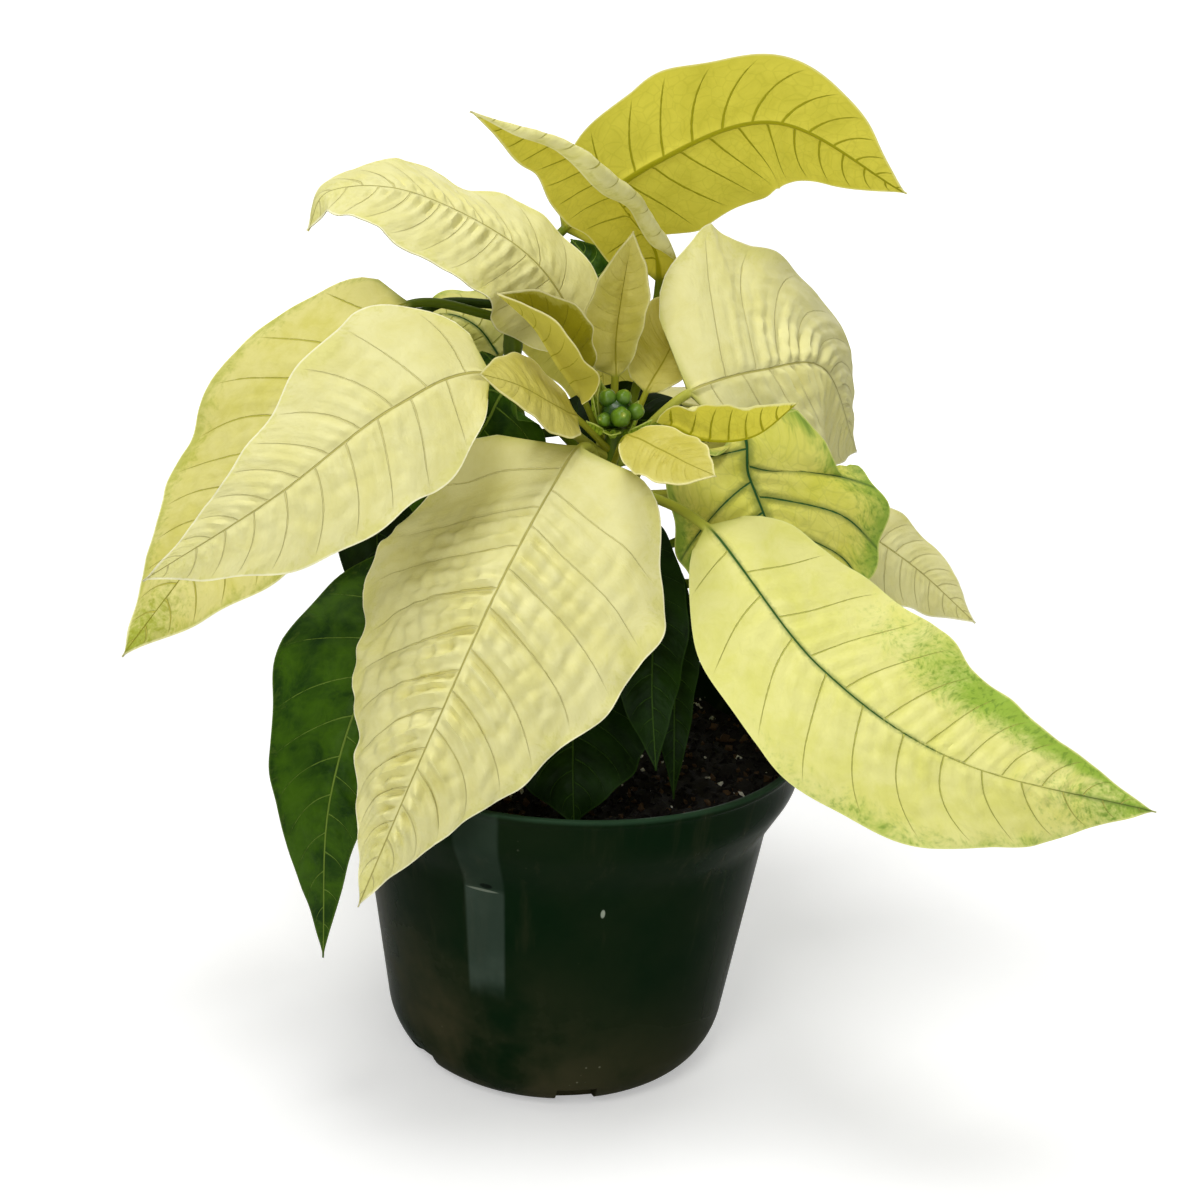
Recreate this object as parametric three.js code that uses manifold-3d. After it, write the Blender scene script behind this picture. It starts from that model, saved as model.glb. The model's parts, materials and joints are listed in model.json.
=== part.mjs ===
// A white-bracted poinsettia growing in a round nursery pot.
// Millimetres, +Z up. The origin is the middle of the pot's base, and -Y is the plant's front.
// Each leaf, each bract, the stems, the flower head, the soil and the pot are separate solids.

import * as THREE from 'three';
import { mergeVertices } from 'three/addons/utils/BufferGeometryUtils.js';
import Module from 'manifold-3d';

const wasm = await Module();
wasm.setup();

// ---- driving dimensions -------------------------------------------------------------------

const GAP = 0.3;                 // clearance between pieces that touch on the real plant

const POT_HEIGHT = 88;
const POT_RIM_RADIUS = 60;
const POT_BAND_HEIGHT = 10;      // the upright rim band at the top of the wall
const POT_SHOULDER_HEIGHT = 12;  // the slope from the band in to the body
const POT_NECK_RADIUS = 52.4;
const POT_BASE_RADIUS = 43.5;
const POT_CORNER = 8.8;
const POT_WALL = 1.5;
const POT_SEGMENTS = 36;
const NOTCH_COUNT = 6;           // drainage notches round the bottom corner
const NOTCH_WIDTH = 10;
const NOTCH_HEIGHT = 5;
const NOTCH_TURN = -80;          // degrees: the azimuth of the front notch

const SOIL_TOP = 78;
const SOIL_RELIEF = 1.1;
const SOIL_SEGMENTS = 30;

const TRUNK_RADIUS = 4.4;
const BRANCH_RADIUS = 2.3;
const STEM_FOOT = 46;            // the trunk's lower end, in its hole in the soil
const STEM_SIDES = 10;

const BLADE = 0.7;               // blade thickness between the veins
const STALK = 1.15;              // petiole radius of a large leaf
const SMALL_STALK = 0.75;        // petiole radius of an inner bract
const STALK_ROWS = 3;
const STALK_BLEND = 0.12;        // share of the blade over which the round petiole flattens
const RIB_TAPER = 0.55;          // share of the midrib's width lost by the tip
const RIB_RELIEF = 0.9;          // how far the midrib stands out below the blade, at its base
const RIB_SHOULDER = 0.6;        // where the midrib's flank starts, as a share of its half-width
const RIB_REACH = 1.4;           // where the midrib's relief ends, in half-widths
const TIP_SHARPNESS = 1.2;
const SCALLOP = { depth: 0.03, count: 5, shift: 0.37 };
const CURVE_STEPS = 60;          // steps between two rib points when lengths are measured
const MERGE_DISTANCE = 1e-4;
const FLAT = 1e-4;               // radians: a curl below this counts as none

// The two stems that rise from the trunk: the front one carries the flower head.
const FRONT_STEM = [[0, 0, 88], [2, 1, 104], [5, -2, 134], [7, -4, 164]];
const REAR_STEM = [[0, 1, 88], [-6, 7, 108], [-14, 12, 140], [-19, 15, 172], [-19, 20, 194]];

const HEAD = new THREE.Vector3(7, -6, 169.5);

// ---- colours ------------------------------------------------------------------------------

const finish = (color, roughness) => new THREE.MeshStandardMaterial({ color, roughness, metalness: 0 });
const COLOURS = {
  cream: 0xe6dfa6,
  yellow: 0xd3cc74,
  dark: 0x2a5a1c,
  mixed: 0xb4c060,
  stem: 0x5f7014,
  bud: 0x6f8f2a,
  bractlet: 0xb9c23c,
  soil: 0x1c1712,
  pot: 0x0d2318,
};

// ---- leaves -------------------------------------------------------------------------------
// rib      points of the midrib: the first is the base of the blade, the last is the tip
// stem, at the stem that carries the leaf, and the height where its petiole leaves it
// half     greatest half-widths, left and right of the midrib (looking from base to tip, face up)
// widest   where along the blade each half is widest
// full     how full each half stays towards the tip: 1 is straight, 2 is rounded
// face     the direction that the upper face looks in, at the base and at the tip
// fold     degrees that each half rises from the midrib plane (below 0 it hangs)
// curl     further degrees that each half turns by its margin
// wave     height in mm, number along the blade and phase of the waves in the margin
// sweep    how far the side veins carry the margin forward, and the place where they run straight out

const LEAF_DEFAULTS = {
  stem: 'front', colour: 'cream', widest: [0.38, 0.38], full: [1.8, 1.8], fold: [-15, -15],
  curl: [0, 0], wave: [1.2, 3, 0], sweep: [0.5, 0.12], round: 0.55, stalk: STALK, ribbed: true,
  rows: 12, columns: [0, 0.45, 1],
};

const SMALL = { stalk: SMALL_STALK, rows: 7, columns: [0, 1], wave: [0.5, 2, 0], widest: [0.45, 0.45] };

const LEAVES = {
  // the large pale bracts of the front and sides
  bract_front: {
    at: 152, rib: [[-1, -20, 163], [-14, -44, 143], [-29, -60, 107], [-44, -64, 66]],
    half: [37, 45], widest: [0.34, 0.28], full: [1.3, 1.45], round: 0.45,
    face: [[-0.3, -0.8, 0.5], [-0.3, -0.95, 0.1]], fold: [-22, -22], curl: [-8, -8], sweep: [0.3, 0.12],
    rows: 16, columns: [0, 0.33, 0.66, 1],
  },
  bract_left_front: {
    at: 157, rib: [[-22, -26, 180], [-41, -42, 175], [-65, -52, 156], [-94, -50, 135]],
    half: [20, 23], widest: [0.36, 0.2], full: [1.8, 1.2],
    face: [[-0.1, -0.8, 0.6], [-0.2, -0.8, 0.6]], fold: [-22, 12], rows: 14,
  },
  bract_left: {
    stem: 'rear', at: 186, colour: 'yellow',
    rib: [[-45, 12, 189], [-65, 0, 172], [-85, -14, 139], [-107, -24, 107]],
    half: [24, 28], widest: [0.38, 0.32], face: [[-0.2, -0.8, 0.6], [-0.3, -0.85, 0.3]], rows: 14,
  },
  bract_upper_left: {
    at: 150, rib: [[-1, 9, 181], [-15, 4, 203], [-41, -6, 217], [-60, -10, 217], [-65, -12, 208]],
    half: [21, 18], widest: [0.38, 0.42], full: [2, 2],
    face: [[-0.2, -0.45, 0.85], [-0.5, -0.4, 0.7]], fold: [-15, -5], rows: 14,
  },
  bract_right: {
    at: 157, rib: [[24, -6, 175], [42, 8, 179], [60, 30, 176], [74, 57, 149]],
    half: [41, 33], widest: [0.26, 0.4], full: [1.1, 1.8], round: 0.5,
    face: [[-0.1, -0.9, 0.45], [0.4, -0.6, 0.6]], fold: [4, -15], curl: [-10, -10], sweep: [0.5, -0.2],
    rows: 14, columns: [0, 0.33, 0.66, 1],
  },
  bract_far_right: {
    at: 148, rib: [[61, 34, 143], [74, 38, 133], [92, 40, 121], [109, 40, 107]],
    half: [13, 13], widest: [0.45, 0.45], face: [[0.2, -0.7, 0.7], [0.3, -0.8, 0.4]], rows: 10,
  },
  bract_right_front: {
    at: 152, colour: 'mixed', rib: [[29, -34, 150], [55, -52, 125], [86, -60, 108], [132, -56, 97]],
    half: [27, 23], widest: [0.38, 0.42], full: [1.5, 1.8], face: [[0.1, -0.8, 0.6], [0.1, -0.9, 0.4]],
    fold: [-12, -18], rows: 16, columns: [0, 0.33, 0.66, 1],
  },
  bract_top_right: {
    stem: 'rear', at: 192, colour: 'yellow',
    rib: [[-9, 44, 206], [14, 40, 225], [43, 36, 236], [78, 44, 220]],
    half: [25, 19], face: [[0.1, 0.85, 0.45], [0.1, 0.85, 0.45]], fold: [8, 8], rows: 14,
  },
  bract_top_left: {
    at: 146, rib: [[16, 23, 197], [7, 10, 215], [-7, -14, 229], [-27, -35, 237]],
    half: [10, 13], widest: [0.5, 0.38], face: [[0.3, 0.8, 0.5], [0.3, 0.7, 0.6]],
    fold: [-20, -30], curl: [0, -40], rows: 12, columns: [0, 0.33, 0.66, 1],
  },
  bract_back_left: {
    stem: 'rear', at: 162, rib: [[-30, 36, 176], [-50, 60, 176], [-66, 84, 160], [-74, 100, 134]],
    half: [22, 22], face: [[-0.3, 0.3, 0.9], [-0.4, 0.8, 0.4]],
  },
  bract_back: {
    stem: 'rear', at: 180, rib: [[-8, 48, 188], [-4, 76, 184], [2, 104, 164], [4, 120, 136]],
    half: [24, 24], face: [[0, 0.2, 1], [0, 0.9, 0.4]],
  },
  bract_back_right: {
    at: 132, rib: [[22, 34, 164], [36, 62, 162], [48, 88, 144], [54, 102, 116]],
    half: [22, 22], face: [[0.3, 0.3, 0.9], [0.4, 0.8, 0.4]],
  },

  // the small bracts round the flower head
  bract_folded: {
    ...SMALL, at: 156.3, colour: 'yellow',
    rib: [[-1, -9, 173], [-7, -15, 182], [-13, -19, 191], [-21, -22, 198]],
    half: [11, 11], face: [[0.3, -0.5, 0.8], [0.3, -0.5, 0.8]], fold: [50, 50], curl: [20, 20],
  },
  bract_small_left: {
    ...SMALL, at: 158.8, rib: [[-2, -18, 170], [-8, -26, 175], [-15, -34, 180], [-23, -40, 183]],
    half: [8, 13], widest: [0.4, 0.38], sweep: [1.1, 0.6],
    face: [[-0.1, -0.7, 0.7], [-0.1, -0.7, 0.7]], fold: [-10, -5],
  },
  bract_upright: {
    ...SMALL, at: 157, rib: [[6.5, 2, 176.5], [6, -1, 186], [7, -5, 199], [8.5, -10, 212]],
    half: [9.5, 7], widest: [0.42, 0.55], face: [[0.1, -0.9, 0.2], [0.1, -0.9, 0.2]], fold: [30, 30],
  },
  bract_small_right: {
    ...SMALL, at: 149, rib: [[14, 2, 173], [18, 8, 180], [22, 13, 188], [26, 18, 196]],
    half: [11, 8], face: [[0, -0.8, 0.5], [0, -0.8, 0.5]], fold: [15, 15],
  },
  bract_narrow: {
    ...SMALL, at: 158, colour: 'yellow',
    rib: [[18, -18, 170], [28, -27, 169], [38, -34, 172], [46, -40, 181]],
    half: [8, 10], face: [[0, -0.1, 1], [0, -0.1, 1]], fold: [50, 60],
  },
  bract_small_front: {
    ...SMALL, at: 154, rib: [[10, -26, 168], [17, -36, 168], [23, -44, 167], [29, -50, 166]],
    half: [8, 8], face: [[0.1, -0.8, 0.6], [0.1, -0.8, 0.6]], fold: [-10, -10],
  },
  bract_small_back: {
    ...SMALL, at: 160, rib: [[6, 12, 176], [5, 24, 182], [4, 36, 182], [4, 46, 176]],
    half: [7, 7], face: [[0, 0, 1], [0, 0.3, 1]], fold: [10, 10],
  },

  // the green leaves
  leaf_variegated: {
    at: 156, colour: 'mixed', rib: [[35, -9.5, 167], [39, -16, 158], [45, -22, 145], [53, -28, 121]],
    half: [33, 22], widest: [0.4, 0.4], face: [[0.2, -0.8, 0.6], [0.2, -0.95, 0.2]], fold: [-12, -18],
  },
  leaf_yellow_green: {
    stem: 'rear', at: 168, colour: 'mixed',
    rib: [[-23, 21, 176], [-29, 23, 183], [-38, 27, 185], [-50, 33, 180]],
    half: [11, 11], face: [[-0.1, -0.8, 0.5], [-0.2, -0.6, 0.8]], rows: 9, columns: [0, 1],
  },
  leaf_left: {
    at: 130, colour: 'dark', rib: [[-24, -11, 133], [-44, -31, 114], [-53, -48, 85], [-54, -51, 45]],
    half: [12, 25], widest: [0.42, 0.34], full: [1.5, 1.2],
    face: [[-0.1, -0.8, 0.6], [-0.1, -1, 0.1]], rows: 14,
  },
  leaf_left_inner: {
    stem: 'rear', at: 190, colour: 'dark',
    rib: [[-41, 18, 187], [-47, 12, 165], [-50, 0, 133], [-42, -10, 97]],
    half: [15, 15], face: [[-0.3, -0.8, 0.4], [-0.3, -0.9, 0.1]], rows: 10,
  },
  leaf_front_left: {
    at: 152, colour: 'dark', rib: [[-17, -2, 172], [-24, -4, 164], [-31, -7, 151], [-36, -9, 136]],
    half: [17, 22], widest: [0.42, 0.3], face: [[-0.1, -0.8, 0.6], [-0.1, -1, 0.1]], rows: 10,
  },
  leaf_front: {
    at: 144, colour: 'dark', rib: [[14, -18, 147], [18, -31, 130], [19, -41, 112], [21, -45, 95]],
    half: [8.5, 11], face: [[0, -0.9, 0.4], [0, -1, 0.1]], rows: 9, columns: [0, 1],
  },
  leaf_front_narrow: {
    at: 134, colour: 'dark', rib: [[20, -10, 135], [24, -22, 119], [25, -32, 102], [26, -36, 84]],
    half: [6, 6], face: [[0.1, -0.9, 0.4], [0.1, -1, 0.1]], rows: 9, columns: [0, 1],
  },
  leaf_low_front: {
    at: 120, colour: 'dark', rib: [[0, -20, 117], [1, -32, 106], [2, -43, 93], [3, -47, 81]],
    half: [19, 19], face: [[0, -0.9, 0.4], [0, -0.9, 0.4]], rows: 9,
  },
  leaf_behind_head: {
    stem: 'rear', at: 158, colour: 'dark', rib: [[-7, 16, 159], [4, 18, 162], [18, 20, 162], [31, 19, 158]],
    half: [12, 9], face: [[0, -0.8, 0.6], [0, -0.8, 0.6]], rows: 9, columns: [0, 1],
  },
  leaf_small_back: {
    stem: 'rear', at: 182, colour: 'dark', rib: [[-6, 28, 188], [-1, 33, 195], [-3, 37, 200], [-7, 40, 204]],
    half: [10, 10], face: [[0.2, -0.8, 0.5], [0.2, -0.8, 0.5]], rows: 9, columns: [0, 1],
  },
  leaf_back_left: {
    stem: 'rear', at: 134, colour: 'dark',
    rib: [[-28, 26, 146], [-52, 44, 150], [-70, 58, 142], [-82, 68, 126]],
    half: [18, 18], face: [[-0.3, 0.2, 0.9], [-0.4, 0.3, 0.8]], fold: [-12, -12], rows: 10,
  },
  leaf_back: {
    stem: 'rear', at: 116, colour: 'dark', rib: [[0, 38, 128], [-2, 68, 120], [-4, 92, 96], [-4, 102, 68]],
    half: [24, 24], face: [[0, 0.2, 1], [0, 0.9, 0.4]], fold: [-12, -12],
  },
  leaf_back_right: {
    at: 126, colour: 'dark', rib: [[32, 26, 132], [52, 42, 126], [66, 54, 110], [72, 60, 90]],
    half: [18, 18], face: [[0.3, 0.2, 0.9], [0.5, 0.5, 0.6]], fold: [-12, -12], rows: 10,
  },
  leaf_right: {
    at: 118, colour: 'dark', rib: [[30, -12, 130], [48, -20, 122], [62, -26, 108], [72, -30, 94]],
    half: [14, 14], face: [[0.3, -0.3, 0.9], [0.5, -0.5, 0.6]], fold: [-12, -12], rows: 9,
  },
  leaf_low_left: {
    stem: 'rear', at: 118, colour: 'dark',
    rib: [[-26, 14, 134], [-46, 18, 128], [-62, 20, 110], [-70, 20, 88]],
    half: [16, 16], face: [[-0.3, 0, 0.9], [-0.6, 0, 0.6]], fold: [-12, -12], rows: 9,
  },
};

// ---- helpers ------------------------------------------------------------------------------

const vector = ([x, y, z]) => new THREE.Vector3(x, y, z);
const radians = THREE.MathUtils.degToRad;
const smoothCurve = (points) => new THREE.CatmullRomCurve3(points, false, 'catmullrom', 0.5);

function toManifold(geometry) {
  const bare = geometry.clone();
  bare.deleteAttribute('normal');
  bare.deleteAttribute('uv');
  const merged = mergeVertices(bare, MERGE_DISTANCE);
  const vertProperties = new Float32Array(merged.attributes.position.array);
  const triVerts = new Uint32Array(merged.index.array);
  return new wasm.Manifold(new wasm.Mesh({ numProp: 3, vertProperties, triVerts }));
}

function fromManifold(solid) {
  const mesh = solid.getMesh();
  const geometry = new THREE.BufferGeometry();
  geometry.setAttribute('position', new THREE.BufferAttribute(mesh.vertProperties, 3));
  geometry.setIndex(new THREE.BufferAttribute(mesh.triVerts, 1));
  return geometry;
}

function joined(geometries) {
  const [first, ...rest] = geometries.map(toManifold);
  return fromManifold(rest.reduce((sum, piece) => sum.add(piece), first));
}

function tube(points, radius, sides, steps) {
  const section = new THREE.Shape();
  section.absarc(0, 0, radius, 0, 2 * Math.PI, false);
  const options = { steps, curveSegments: sides / 2, bevelEnabled: false, extrudePath: smoothCurve(points) };
  return new THREE.ExtrudeGeometry(section, options);
}

function heightOn(curve, z) {
  // the point of a rising stem at height z, by halving
  let low = 0;
  let high = 1;
  for (let i = 0; i < 30; i += 1) {
    const middle = (low + high) / 2;
    if (curve.getPointAt(middle).z < z) low = middle;
    else high = middle;
  }
  return { point: curve.getPointAt(low), direction: curve.getTangentAt(low) };
}

function petioleStart(curve, z, towards, stalk) {
  // where the petiole's end face clears the stem's side by GAP
  const { point, direction } = heightOn(curve, z);
  const way = towards.clone().sub(point).normalize();
  const cosine = Math.abs(way.dot(direction));
  const sine = Math.sqrt(Math.max(1 - cosine * cosine, 0.06));
  return point.addScaledVector(way, (BRANCH_RADIUS + GAP + stalk * cosine) / sine);
}

function halfWidth(t, widest, full, round) {
  // rises on a rounded base up to the widest place, then falls to the pointed tip
  if (t < widest) {
    const rise = 1 - t / widest;
    return (1 - rise * rise) ** round;
  }
  const run = (t - widest) / (1 - widest);
  return Math.max(1 - run ** full, 0) ** TIP_SHARPNESS;
}

// ---- a leaf: petiole and blade in one closed skin -------------------------------------------

function leafSkin(leaf, start) {
  const rib = leaf.rib.map(vector);
  const curve = smoothCurve([start, ...rib]);
  curve.arcLengthDivisions = CURVE_STEPS * rib.length;
  const lengths = curve.getLengths();
  const total = curve.getLength();
  const bladeStart = lengths[CURVE_STEPS] / total;
  const faceAtBase = vector(leaf.face[0]).normalize();
  const faceAtTip = vector(leaf.face[1]).normalize();
  const steps = [];
  for (let i = 0; i < STALK_ROWS; i += 1) steps.push((i / STALK_ROWS) * bladeStart);
  for (let i = 0; i < leaf.rows; i += 1) steps.push(bladeStart + (i / (leaf.rows - 1)) * (1 - bladeStart));

  const upper = [];
  const lower = [];
  steps.forEach((s) => {
    const t = Math.max((s - bladeStart) / (1 - bladeStart), 0);
    const centre = curve.getPointAt(s);
    const along = curve.getTangentAt(s);
    const face = faceAtBase.clone().lerp(faceAtTip, t);
    const side = along.clone().cross(face).normalize();
    const normal = side.clone().cross(along).normalize();
    const blend = THREE.MathUtils.smoothstep(t, 0, STALK_BLEND);
    const ribHalf = leaf.stalk * (1 - RIB_TAPER * t);
    const ribDepth = THREE.MathUtils.lerp(2 * leaf.stalk, BLADE + RIB_RELIEF * (1 - t), blend);
    const shoulder = RIB_SHOULDER * ribHalf;

    const place = (hand, share) => {
      const k = hand < 0 ? 0 : 1;
      const [height, count, phase] = leaf.wave;
      const h = t > 0 ? halfWidth(t, leaf.widest[k], leaf.full[k], leaf.round) : 0;
      const scallop = 1 + SCALLOP.depth * Math.sin(2 * Math.PI * (SCALLOP.count * t + SCALLOP.shift * k));
      const width = Math.max(leaf.half[k] * h * scallop, ribHalf);
      const distance = shoulder + (width - shoulder) * share;
      const a = distance / width;
      const fold = radians(leaf.fold[k]) * blend;
      const curl = radians(leaf.curl[k]) * blend;
      const slope = fold + curl * a;
      const flat = Math.abs(curl) < FLAT;
      const out = flat ? a * Math.cos(fold) : (Math.sin(slope) - Math.sin(fold)) / curl;
      const rise = flat ? a * Math.sin(fold) : (Math.cos(fold) - Math.cos(slope)) / curl;
      const wave = height * a * a * h * Math.sin(2 * Math.PI * (count * t + phase + 0.3 * k));
      const sweep = leaf.sweep[0] * a * a * width * (t - leaf.sweep[1]) * blend;
      const local = normal.clone().multiplyScalar(Math.cos(slope));
      local.addScaledVector(side, -hand * Math.sin(slope));
      const middle = centre.clone()
        .addScaledVector(side, hand * width * out)
        .addScaledVector(normal, width * rise + wave)
        .addScaledVector(along, sweep);
      return { middle, local, distance };
    };

    const shares = leaf.ribbed ? leaf.columns : leaf.columns.slice(1);
    const rib0 = { middle: centre.clone(), local: normal.clone(), distance: 0 };
    const left = shares.map((share) => place(-1, share)).reverse();
    const right = shares.map((share) => place(1, share));
    const section = [...left, rib0, ...right];

    const top = [];
    const bottom = [];
    section.forEach(({ middle, local, distance }) => {
      const round = Math.sqrt(Math.max(1 - (distance / leaf.stalk) ** 2, 0));
      const stalkHalf = Math.max(leaf.stalk * round, BLADE / 2);
      const nearRib = Math.max(1 - distance / (ribHalf * RIB_REACH), 0);
      const bladeDown = BLADE / 2 + (ribDepth - BLADE) * nearRib;
      const up = THREE.MathUtils.lerp(stalkHalf, BLADE / 2, blend);
      const down = THREE.MathUtils.lerp(stalkHalf, bladeDown, blend);
      top.push(middle.clone().addScaledVector(local, up));
      bottom.push(middle.clone().addScaledVector(local, -down));
    });
    upper.push(top);
    lower.push(bottom);
  });
  return closedSkin(upper, lower);
}

function closedSkin(upper, lower) {
  // the two faces have the same diagonals, mirrored about the midrib, and a narrow rim joins them
  const rows = upper.length;
  const columns = upper[0].length;
  const positions = [];
  const push = (grid) => grid.forEach((row) => row.forEach((p) => positions.push(p.x, p.y, p.z)));
  push(upper);
  push(lower);
  const below = rows * columns;
  const at = (i, j) => i * columns + j;
  const index = [];
  const middle = (columns - 1) / 2;
  for (let i = 0; i < rows - 1; i += 1) {
    for (let j = 0; j < columns - 1; j += 1) {
      const a = at(i, j);
      const b = at(i, j + 1);
      const c = at(i + 1, j + 1);
      const d = at(i + 1, j);
      const halves = j < middle ? [[a, b, c], [a, c, d]] : [[a, b, d], [b, c, d]];
      halves.forEach(([p, q, r]) => {
        index.push(p, q, r);
        index.push(p + below, r + below, q + below);
      });
    }
  }
  const rim = [];
  for (let j = 0; j < columns - 1; j += 1) rim.push(at(0, j));
  for (let i = 0; i < rows - 1; i += 1) rim.push(at(i, columns - 1));
  for (let j = columns - 1; j > 0; j -= 1) rim.push(at(rows - 1, j));
  for (let i = rows - 1; i > 0; i -= 1) rim.push(at(i, 0));
  rim.forEach((p, k) => {
    const q = rim[(k + 1) % rim.length];
    index.push(p, q + below, q);
    index.push(p, p + below, q + below);
  });
  const geometry = new THREE.BufferGeometry();
  geometry.setAttribute('position', new THREE.Float32BufferAttribute(positions, 3));
  geometry.setIndex(index);
  return geometry;
}

// ---- pot ----------------------------------------------------------------------------------

function potGeometry() {
  const bandFoot = POT_HEIGHT - POT_BAND_HEIGHT;
  const neck = bandFoot - POT_SHOULDER_HEIGHT;
  const outer = [
    [0, 0], [POT_BASE_RADIUS - POT_CORNER, 0],
    [POT_BASE_RADIUS - 0.3 * POT_CORNER, 0.3 * POT_CORNER], [POT_BASE_RADIUS + 0.6, POT_CORNER],
    [POT_NECK_RADIUS, neck], [POT_RIM_RADIUS - 1, bandFoot], [POT_RIM_RADIUS - 0.4, POT_HEIGHT - 2],
    [POT_RIM_RADIUS, POT_HEIGHT - 1.6], [POT_RIM_RADIUS, POT_HEIGHT],
  ];
  const inner = [
    [POT_RIM_RADIUS - 1.9, POT_HEIGHT], [POT_RIM_RADIUS - 1 - POT_WALL, bandFoot + 0.4],
    [POT_NECK_RADIUS - POT_WALL, neck + 0.4], [POT_BASE_RADIUS + 0.6 - POT_WALL, POT_CORNER],
    [POT_BASE_RADIUS - 0.4 * POT_CORNER - POT_WALL, POT_WALL + 0.4 * POT_CORNER],
    [POT_BASE_RADIUS - POT_CORNER, POT_WALL], [0, POT_WALL],
  ];
  const profile = [...outer, ...inner].map(([r, z]) => new THREE.Vector2(r, z));
  const wall = new THREE.LatheGeometry(profile, POT_SEGMENTS).rotateX(Math.PI / 2);
  let solid = toManifold(wall);
  for (let i = 0; i < NOTCH_COUNT; i += 1) {
    const notch = new THREE.BoxGeometry(16, NOTCH_WIDTH, 2 * NOTCH_HEIGHT);
    notch.translate(POT_BASE_RADIUS, 0, 0);
    notch.rotateZ(radians(NOTCH_TURN + (360 / NOTCH_COUNT) * i));
    solid = solid.subtract(toManifold(notch));
  }
  return fromManifold(solid);
}

// ---- soil ---------------------------------------------------------------------------------

function soilGeometry() {
  // a plug that fills the pot, with a plain hole for the trunk and an uneven top
  const hole = TRUNK_RADIUS + GAP;
  const fit = POT_WALL + GAP;
  const neck = POT_HEIGHT - POT_BAND_HEIGHT - POT_SHOULDER_HEIGHT;
  const lift = (SOIL_TOP - 1 - neck) / POT_SHOULDER_HEIGHT;
  const topRadius = POT_NECK_RADIUS + (POT_RIM_RADIUS - 1 - POT_NECK_RADIUS) * lift - fit - 0.4;
  const topRings = [0.2, 0.4, 0.62, 0.82].map((share) => [hole + share * (topRadius - hole), SOIL_TOP]);
  const profile = [
    [0, POT_CORNER + 3], [POT_BASE_RADIUS + 0.6 - fit, POT_CORNER + 3],
    [POT_NECK_RADIUS - fit - 0.1, neck], [topRadius, SOIL_TOP - 1], ...topRings.reverse(), [hole, SOIL_TOP],
    [hole, STEM_FOOT - GAP], [0, STEM_FOOT - GAP],
  ].map(([r, z]) => new THREE.Vector2(r, z));
  const soil = new THREE.LatheGeometry(profile, SOIL_SEGMENTS).rotateX(Math.PI / 2);
  const place = soil.attributes.position;
  for (let i = 0; i < place.count; i += 1) {
    const x = place.getX(i);
    const y = place.getY(i);
    const onTop = place.getZ(i) > SOIL_TOP - 0.01 && Math.hypot(x, y) > hole + 1;
    const relief = Math.sin(0.31 * x + 1.3) * Math.cos(0.27 * y) + 0.6 * Math.sin(0.74 * x - 0.61 * y);
    if (onTop) place.setZ(i, SOIL_TOP + SOIL_RELIEF * relief);
  }
  return fromManifold(toManifold(soil));
}

// ---- stems --------------------------------------------------------------------------------

function stemGeometry() {
  const trunk = tube([[0, 0, STEM_FOOT], [0, 0, 70], [0, 0.5, 92]].map(vector), TRUNK_RADIUS, STEM_SIDES, 3);
  const fork = new THREE.IcosahedronGeometry(TRUNK_RADIUS * 1.08, 1).translate(0, 0.5, 92);
  const front = tube(FRONT_STEM.map(vector), BRANCH_RADIUS, STEM_SIDES, 9);
  const rear = tube(REAR_STEM.map(vector), BRANCH_RADIUS, STEM_SIDES, 12);
  const rearTip = new THREE.IcosahedronGeometry(BRANCH_RADIUS * 1.15, 1);
  rearTip.translate(...REAR_STEM[REAR_STEM.length - 1]);
  return joined([trunk, fork, front, rear, rearTip]);
}

// ---- flower head --------------------------------------------------------------------------
// Green cups crowd on a small dome, and narrow bractlets stand round them in a ring of their own.

const BUDS = [
  { at: [1.2, -4.8, -0.2], radius: 2.4 }, { at: [-2.5, -3.3, -1.4], radius: 1.7 },
  { at: [-2, -1.2, 3.3], radius: 2.1 }, { at: [4.6, -1.8, 0.6], radius: 2 },
  { at: [1.8, 3.4, 1.2], radius: 1.9 }, { at: [1.6, -1.2, 3.6], radius: 1.9 },
];
const HEAD_CORE = 3.5;

function budGeometry() {
  const core = new THREE.IcosahedronGeometry(HEAD_CORE, 1).translate(HEAD.x, HEAD.y, HEAD.z);
  const cups = BUDS.map(({ at, radius }) => {
    const cup = new THREE.IcosahedronGeometry(radius, 1);
    return cup.translate(HEAD.x + at[0], HEAD.y + at[1], HEAD.z + at[2]);
  });
  return joined([core, ...cups]);
}

// azimuth in degrees, reach out from the ring and rise of each bractlet's tip
const BRACTLETS = [
  { azimuth: 165, reach: 4, rise: 9 }, { azimuth: 130, reach: 4, rise: 11 },
  { azimuth: 32, reach: 4, rise: 7 }, { azimuth: 338, reach: 7, rise: 4 },
  { azimuth: 215, reach: 6, rise: 3 }, { azimuth: 264, reach: 7, rise: 1 },
];
const RING_RADIUS = 2.2;

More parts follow.
